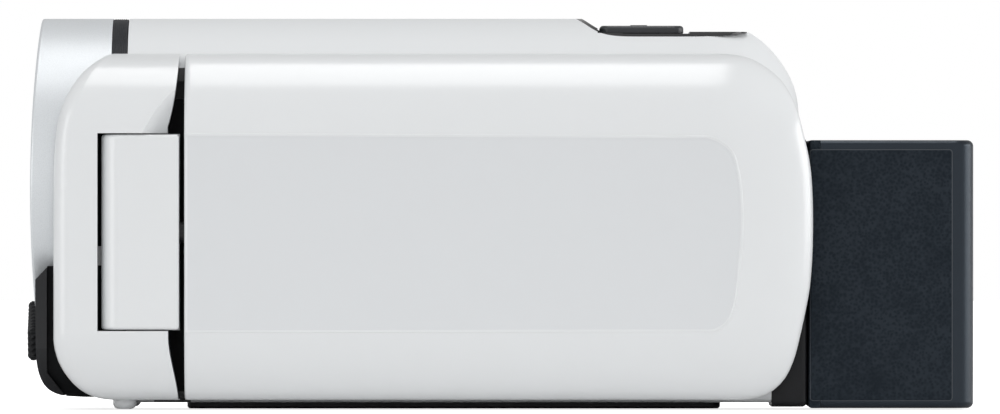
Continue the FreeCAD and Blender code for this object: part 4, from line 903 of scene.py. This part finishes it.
def puff(ob):
    """Blows the pad up between its sewn edges with a pressure cloth simulation."""
    start = [v.co.copy() for v in ob.data.vertices]
    pins = ob.vertex_groups.new(name="sewn")
    for i, co in enumerate(start):
        x, z = co.x / SIM_SCALE / MM, co.z / SIM_SCALE / MM
        edge_gap = strap_half(x) - PAD_SHRINK - abs(z - STRAP_Z)
        if x < SEWN_FRONT or x > SEWN_REAR or edge_gap < 2.3:
            pins.add([i], 1.0, "REPLACE")
    air = ob.modifiers.new("air", "CLOTH")
    cloth_settings = {
        "quality": 6,
        "mass": 0.3,
        "use_pressure": True,
        "uniform_pressure_force": 4.0,
        "tension_stiffness": 12,
        "compression_stiffness": 12,
        "shear_stiffness": 6,
        "bending_stiffness": 0.4,
        "vertex_group_mass": "sewn",
    }
    for name, value in cloth_settings.items():
        setattr(air.settings, name, value)
    air.settings.effector_weights.gravity = 0.0
    air.collision_settings.use_collision = False
    air.point_cache.frame_start, air.point_cache.frame_end = 1, SIM_FRAMES
    scene.frame_start, scene.frame_end = 1, SIM_FRAMES
    for number in range(1, SIM_FRAMES + 1):
        scene.frame_set(number)
    graph = bpy.context.evaluated_depsgraph_get()
    mesh = ob.evaluated_get(graph).to_mesh()
    pushed = [v.co.copy() for v in mesh.vertices]
    ob.evaluated_get(graph).to_mesh_clear()
    ob.modifiers.clear()
    scene.frame_set(1)
    limit = PUFF_LIMIT * SIM_SCALE
    for vertex, a, b in zip(ob.data.vertices, start, pushed):
        move = b - a
        if move.length > limit:
            move *= limit / move.length
        vertex.co = a + move
    ob.vertex_groups.clear()


def make_strap_pad():
    stations = [-32.7 + 78.0 * k / 60 for k in range(61)]
    ob = loft("hand_strap_pad", [pad_section(x) for x in stations], CLOTH)
    for v in ob.data.vertices:
        v.co *= SIM_SCALE
    remesh = ob.modifiers.new("even", "REMESH")
    remesh.mode = "VOXEL"
    remesh.voxel_size = 0.0008 * SIM_SCALE
    settle(ob)
    puff(ob)
    # The inner face is kept off the casing, before and after smoothing.
    for v in ob.data.vertices:
        v.co /= SIM_SCALE
        v.co.y = max(v.co.y, 0.02585)
    soft = ob.modifiers.new("soft", "SUBSURF")
    soft.levels = soft.render_levels = 1
    settle(ob)
    for v in ob.data.vertices:
        v.co.y = max(v.co.y, 0.02583)
    smooth_all(ob.data)
    dress(ob, CLOTH)
    return ob


CLOTH = cloth("strap_cloth_woven")
WEBBING = webbing("strap_webbing")
THREAD = sewing_thread("strap_thread")
dress(nodes["hand_strap"], CLOTH)

strap = make_strap_pad()
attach(strap, "casing")
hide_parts("hand_strap")

bm = bmesh.new()
bm.from_mesh(strap.data)
pad_tree = BVHTree.FromBMesh(bm)
bm.free()


def outer_face(x, z):
    """The y and the normal of the pad's outer face."""
    hit, normal, _, _ = pad_tree.ray_cast(Vector((x, 60.0, z)) * MM, Vector((0, -1, 0)))
    return (hit.y / MM, normal) if hit else (strap_y(x) + 2 * HALF_THICK, Vector((0, 1, 0)))


def make_binding():
    """Bound edge: a flattened tube that follows the strap's outline."""
    upper = [-32.9 + 78.4 * k / 60 for k in range(61)]
    lower = [45.5 - 78.4 * k / 60 for k in range(61)]
    outline = [(x, STRAP_Z + strap_half(x) - 0.55) for x in upper]
    outline += [(x, STRAP_Z - strap_half(x) + 0.55) for x in lower]
    rings = []
    for k, (x, z) in enumerate(outline):
        xa, za = outline[k - 1]
        xb, zb = outline[(k + 1) % len(outline)]
        along = Vector((xb - xa, 0, zb - za)).normalized()
        side = Vector((along.z, 0, -along.x))
        center = Vector((x, strap_y(x) + HALF_THICK, z))
        ring = []
        for m in range(12):
            a = 2 * math.pi * m / 12
            point = center + side * (0.95 * math.cos(a)) + Vector((0, 1.15 * math.sin(a), 0))
            point.y = max(point.y, 25.85)
            ring.append(point)
        rings.append(ring)
    return loft("strap_bound_edge", rings, WEBBING, loop=True)


binding = make_binding()
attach(binding, "casing")


def web_loop(name, bar_x, inward):
    """Webbing round an anchor bar, laid on the pad; inward is the x sign towards the pad."""
    half, half_thick, across = 8.2, 0.29, 15
    bend, bar_y = 1.35, 27.4
    tail_x = bar_x + inward * 12.5
    path = []
    for k in range(11):
        x = tail_x + (bar_x + inward * 2.6 - tail_x) * k / 10
        path.append((x, outer_face(x, STRAP_Z)[0] + 0.28))
    for deg in (75, 100, 125, 150, 180, 210, 240, 262):
        a = math.radians(deg)
        path.append((bar_x + inward * bend * math.cos(a), bar_y + bend * math.sin(a)))
    path += [(bar_x + inward * 1.2, 26.55), (bar_x + inward * 2.6, 27.1)]
    path = catmull(path, 3)
    rings = []
    for i, (x, y) in enumerate(path):
        a, b = path[max(i - 1, 0)], path[min(i + 1, len(path) - 1)]
        along = Vector((b[0] - a[0], b[1] - a[1])).normalized()
        wobble = 0.03 * math.sin(i * 1.7)
        ring = []
        for side in (1, -1):
            for k in range(across):
                z = side * (-half + 2 * half * k / (across - 1))
                offset = side * half_thick * (1.0 if 0 < k < across - 1 else 0.35)
                ring.append((x - along.y * offset, max(y + along.x * offset, 25.72),
                             STRAP_Z + z + wobble))
        rings.append(ring)
    ob = loft(name, rings, WEBBING)
    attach(ob, "casing")


web_loop("strap_webbing_front", bar_x=-34.0, inward=1)
web_loop("strap_webbing_rear", bar_x=46.5, inward=-1)

# ------------------------------------------------------------------ strap stitches
# Along one stitch: place over its length, width over its radius, height above the cloth.
STITCH_PROFILE = ((-0.5, 0.25, -0.16), (-0.32, 1.0, 0.02), (0.0, 1.15, 0.08), (0.32, 1.0, 0.02),
                  (0.5, 0.25, -0.16))


def pad_line(points, lift=0.0):
    """(point, normal) pairs on the pad along straight runs between (x, z) points."""
    spots = []
    for (x0, z0), (x1, z1) in zip(points, points[1:]):
        steps = max(int(60 * math.hypot(x1 - x0, z1 - z0) / 40.0), 3)
        spots += [(x0 + (x1 - x0) * k / steps, z0 + (z1 - z0) * k / steps)
                  for k in range(steps)]
    spots.append(points[-1])
    line = []
    for x, z in spots:
        y, normal = outer_face(x, z)
        line.append((Vector((x, y + lift, z)), Vector(normal)))
    return line


def stitch_row(line, pitch, length, radius):
    """Stitches as (centre, normal, direction, length, radius), spaced along a line."""
    row = []
    travelled, next_at = 0.0, pitch / 2
    for (p, p_normal), (q, q_normal) in zip(line, line[1:]):
        span = (q - p).length
        while next_at <= travelled + span:
            t = (next_at - travelled) / span
            row.append((p.lerp(q, t), p_normal.lerp(q_normal, t).normalized(),
                        (q - p).normalized(), length, radius))
            next_at += pitch
        travelled += span
    return row


def make_stitches(rows):
    verts, faces = [], []
    sides = 6
    for center, normal, along, length, radius in rows:
        across = normal.cross(along).normalized()
        base = len(verts)
        for place, width, height in STITCH_PROFILE:
            for k in range(sides):
                a = 2 * math.pi * k / sides
                verts.append(center + along * (place * length)
                             + across * (radius * width * math.cos(a))
                             + normal * (radius * width * math.sin(a) * 0.9 + height))
        faces += tube_faces(base, len(STITCH_PROFILE), sides)
        faces.append(tuple(base + k for k in range(sides)))
        last = base + (len(STITCH_PROFILE) - 1) * sides
        faces.append(tuple(last + k for k in reversed(range(sides))))
    return add_mesh("strap_stitches", verts, faces, THREAD, merge=False, sharp=None)


def border_stitches():
    """One row round the puffed part of the pad."""
    span = SEWN_REAR - SEWN_FRONT + 2
    upper_x = [SEWN_FRONT - 1 + span * k / 12 for k in range(13)]
    lower_x = [SEWN_REAR + 1 - span * k / 12 for k in range(13)]
    upper = [(x, STRAP_Z + strap_half(x) - 2.5) for x in upper_x]
    lower = [(x, STRAP_Z - strap_half(x) + 2.5) for x in lower_x]
    return stitch_row(pad_line(upper + lower + [upper[0]]), pitch=1.7, length=1.15, radius=0.16)


def crossed_box_stitches():
    """A box with both diagonals on each piece of webbing."""
    rows = []
    low, high = STRAP_Z - 7.2, STRAP_Z + 7.2
    for x0, x1 in ((-30.6, -22.6), (35.1, 43.1)):
        box = [(x0, low), (x1, low), (x1, high), (x0, high), (x0, low), (x1, high)]
        for points in (box, [(x0, high), (x1, low)]):
            rows += stitch_row(pad_line(points, lift=0.55), pitch=1.5, length=1.0, radius=0.14)
    return rows


thread = make_stitches(border_stitches() + crossed_box_stitches())
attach(thread, "casing")


# ------------------------------------------------------------------ stage, in metres
def make_world():
    """A room brightest on the camera's side (-Y), which the camera itself sees as white."""
    base_glow, front_glow, front_falloff = 0.50, 0.56, 1.5
    world = bpy.data.worlds.new("studio")
    scene.world = world
    world.use_nodes = True
    tree = world.node_tree
    coord = add_node(tree, "ShaderNodeTexCoord")
    xyz = add_node(tree, "ShaderNodeSeparateXYZ", Vector=coord.outputs["Generated"])
    towards = math_node(tree, "MULTIPLY", xyz.outputs["Y"], -1.0)
    towards = math_node(tree, "MAXIMUM", towards, 0.0)
    towards = math_node(tree, "POWER", towards, front_falloff)
    glow = math_node(tree, "MULTIPLY_ADD", towards, front_glow, base_glow)
    camera_ray = add_node(tree, "ShaderNodeLightPath").outputs["Is Camera Ray"]
    to_white = math_node(tree, "SUBTRACT", 1.0, glow)
    strength = math_node(tree, "MULTIPLY_ADD", camera_ray, to_white, glow)
    set_inputs(tree.nodes["Background"], Color=(1, 1, 1, 1), Strength=strength)


def make_floor():
    half, z = 3, -0.0002
    mesh = bpy.data.meshes.new("floor")
    mesh.from_pydata([(x * half, y * half, z) for x, y in CORNERS], [], [(0, 1, 2, 3)])
    ob = add_object("floor", mesh)
    paper = Mat("floor_paper", (0.93, 0.93, 0.93), rough=0.8)
    paper.vary(size=300.0, amount=0.004)
    paper.grain(size=2.0, strength=0.05, depth=0.05)
    # Seen edge-on the paper runs out to white; from above it is a plain pale grey.
    facing = paper.node("ShaderNodeLayerWeight", Blend=0.5).outputs["Facing"]
    fade = paper.ramp(facing, [(0.93, (0.0,) * 3), (0.985, (0.8,) * 3)])
    paper.set(Emission_Color=(1, 1, 1, 1), Emission_Strength=fade)
    mesh.materials.append(paper.material)
    return ob


def box_light(name, at, aim, size, power):
    light = bpy.data.lights.new(name, "AREA")
    light.shape = "RECTANGLE"
    light.size, light.size_y = size
    light.energy = power
    ob = add_object(name, light)
    ob.location = at
    ob.rotation_mode = "QUATERNION"
    ob.rotation_quaternion = (Vector(aim) - Vector(at)).to_track_quat("-Z", "Y")


def make_camera():
    """A long lens on the -Y side, level with the middle of the camcorder."""
    distance, view_width = 2.6, 0.14872  # view_width is what fits across at that distance
    camera = bpy.data.cameras.new("camera")
    camera.sensor_width = 36.0
    camera.clip_start, camera.clip_end = 0.05, 60.0
    camera.lens = 36.0 * (distance / view_width)
    ob = add_object("camera", camera)
    ob.location = (0.01175, -0.0125 - distance, 0.02997)
    ob.rotation_euler = (math.radians(90), 0, 0)
    scene.camera = ob


make_world()
floor = make_floor()
BODY = (0.012, 0.0, 0.03)  # aim point in the camcorder
box_light("top_strip", at=(0.012, -0.02, 0.65), aim=(0.012, -0.02, 0.0), size=(0.20, 0.50),
          power=1.20)
box_light("left_fill", at=(-0.55, -0.52, 0.14), aim=BODY, size=(0.42, 0.42), power=1.3)
box_light("right_strip", at=(0.65, -0.02, 0.16), aim=BODY, size=(0.50, 0.30), power=1.9)
make_camera()

bpy.context.view_layer.update()
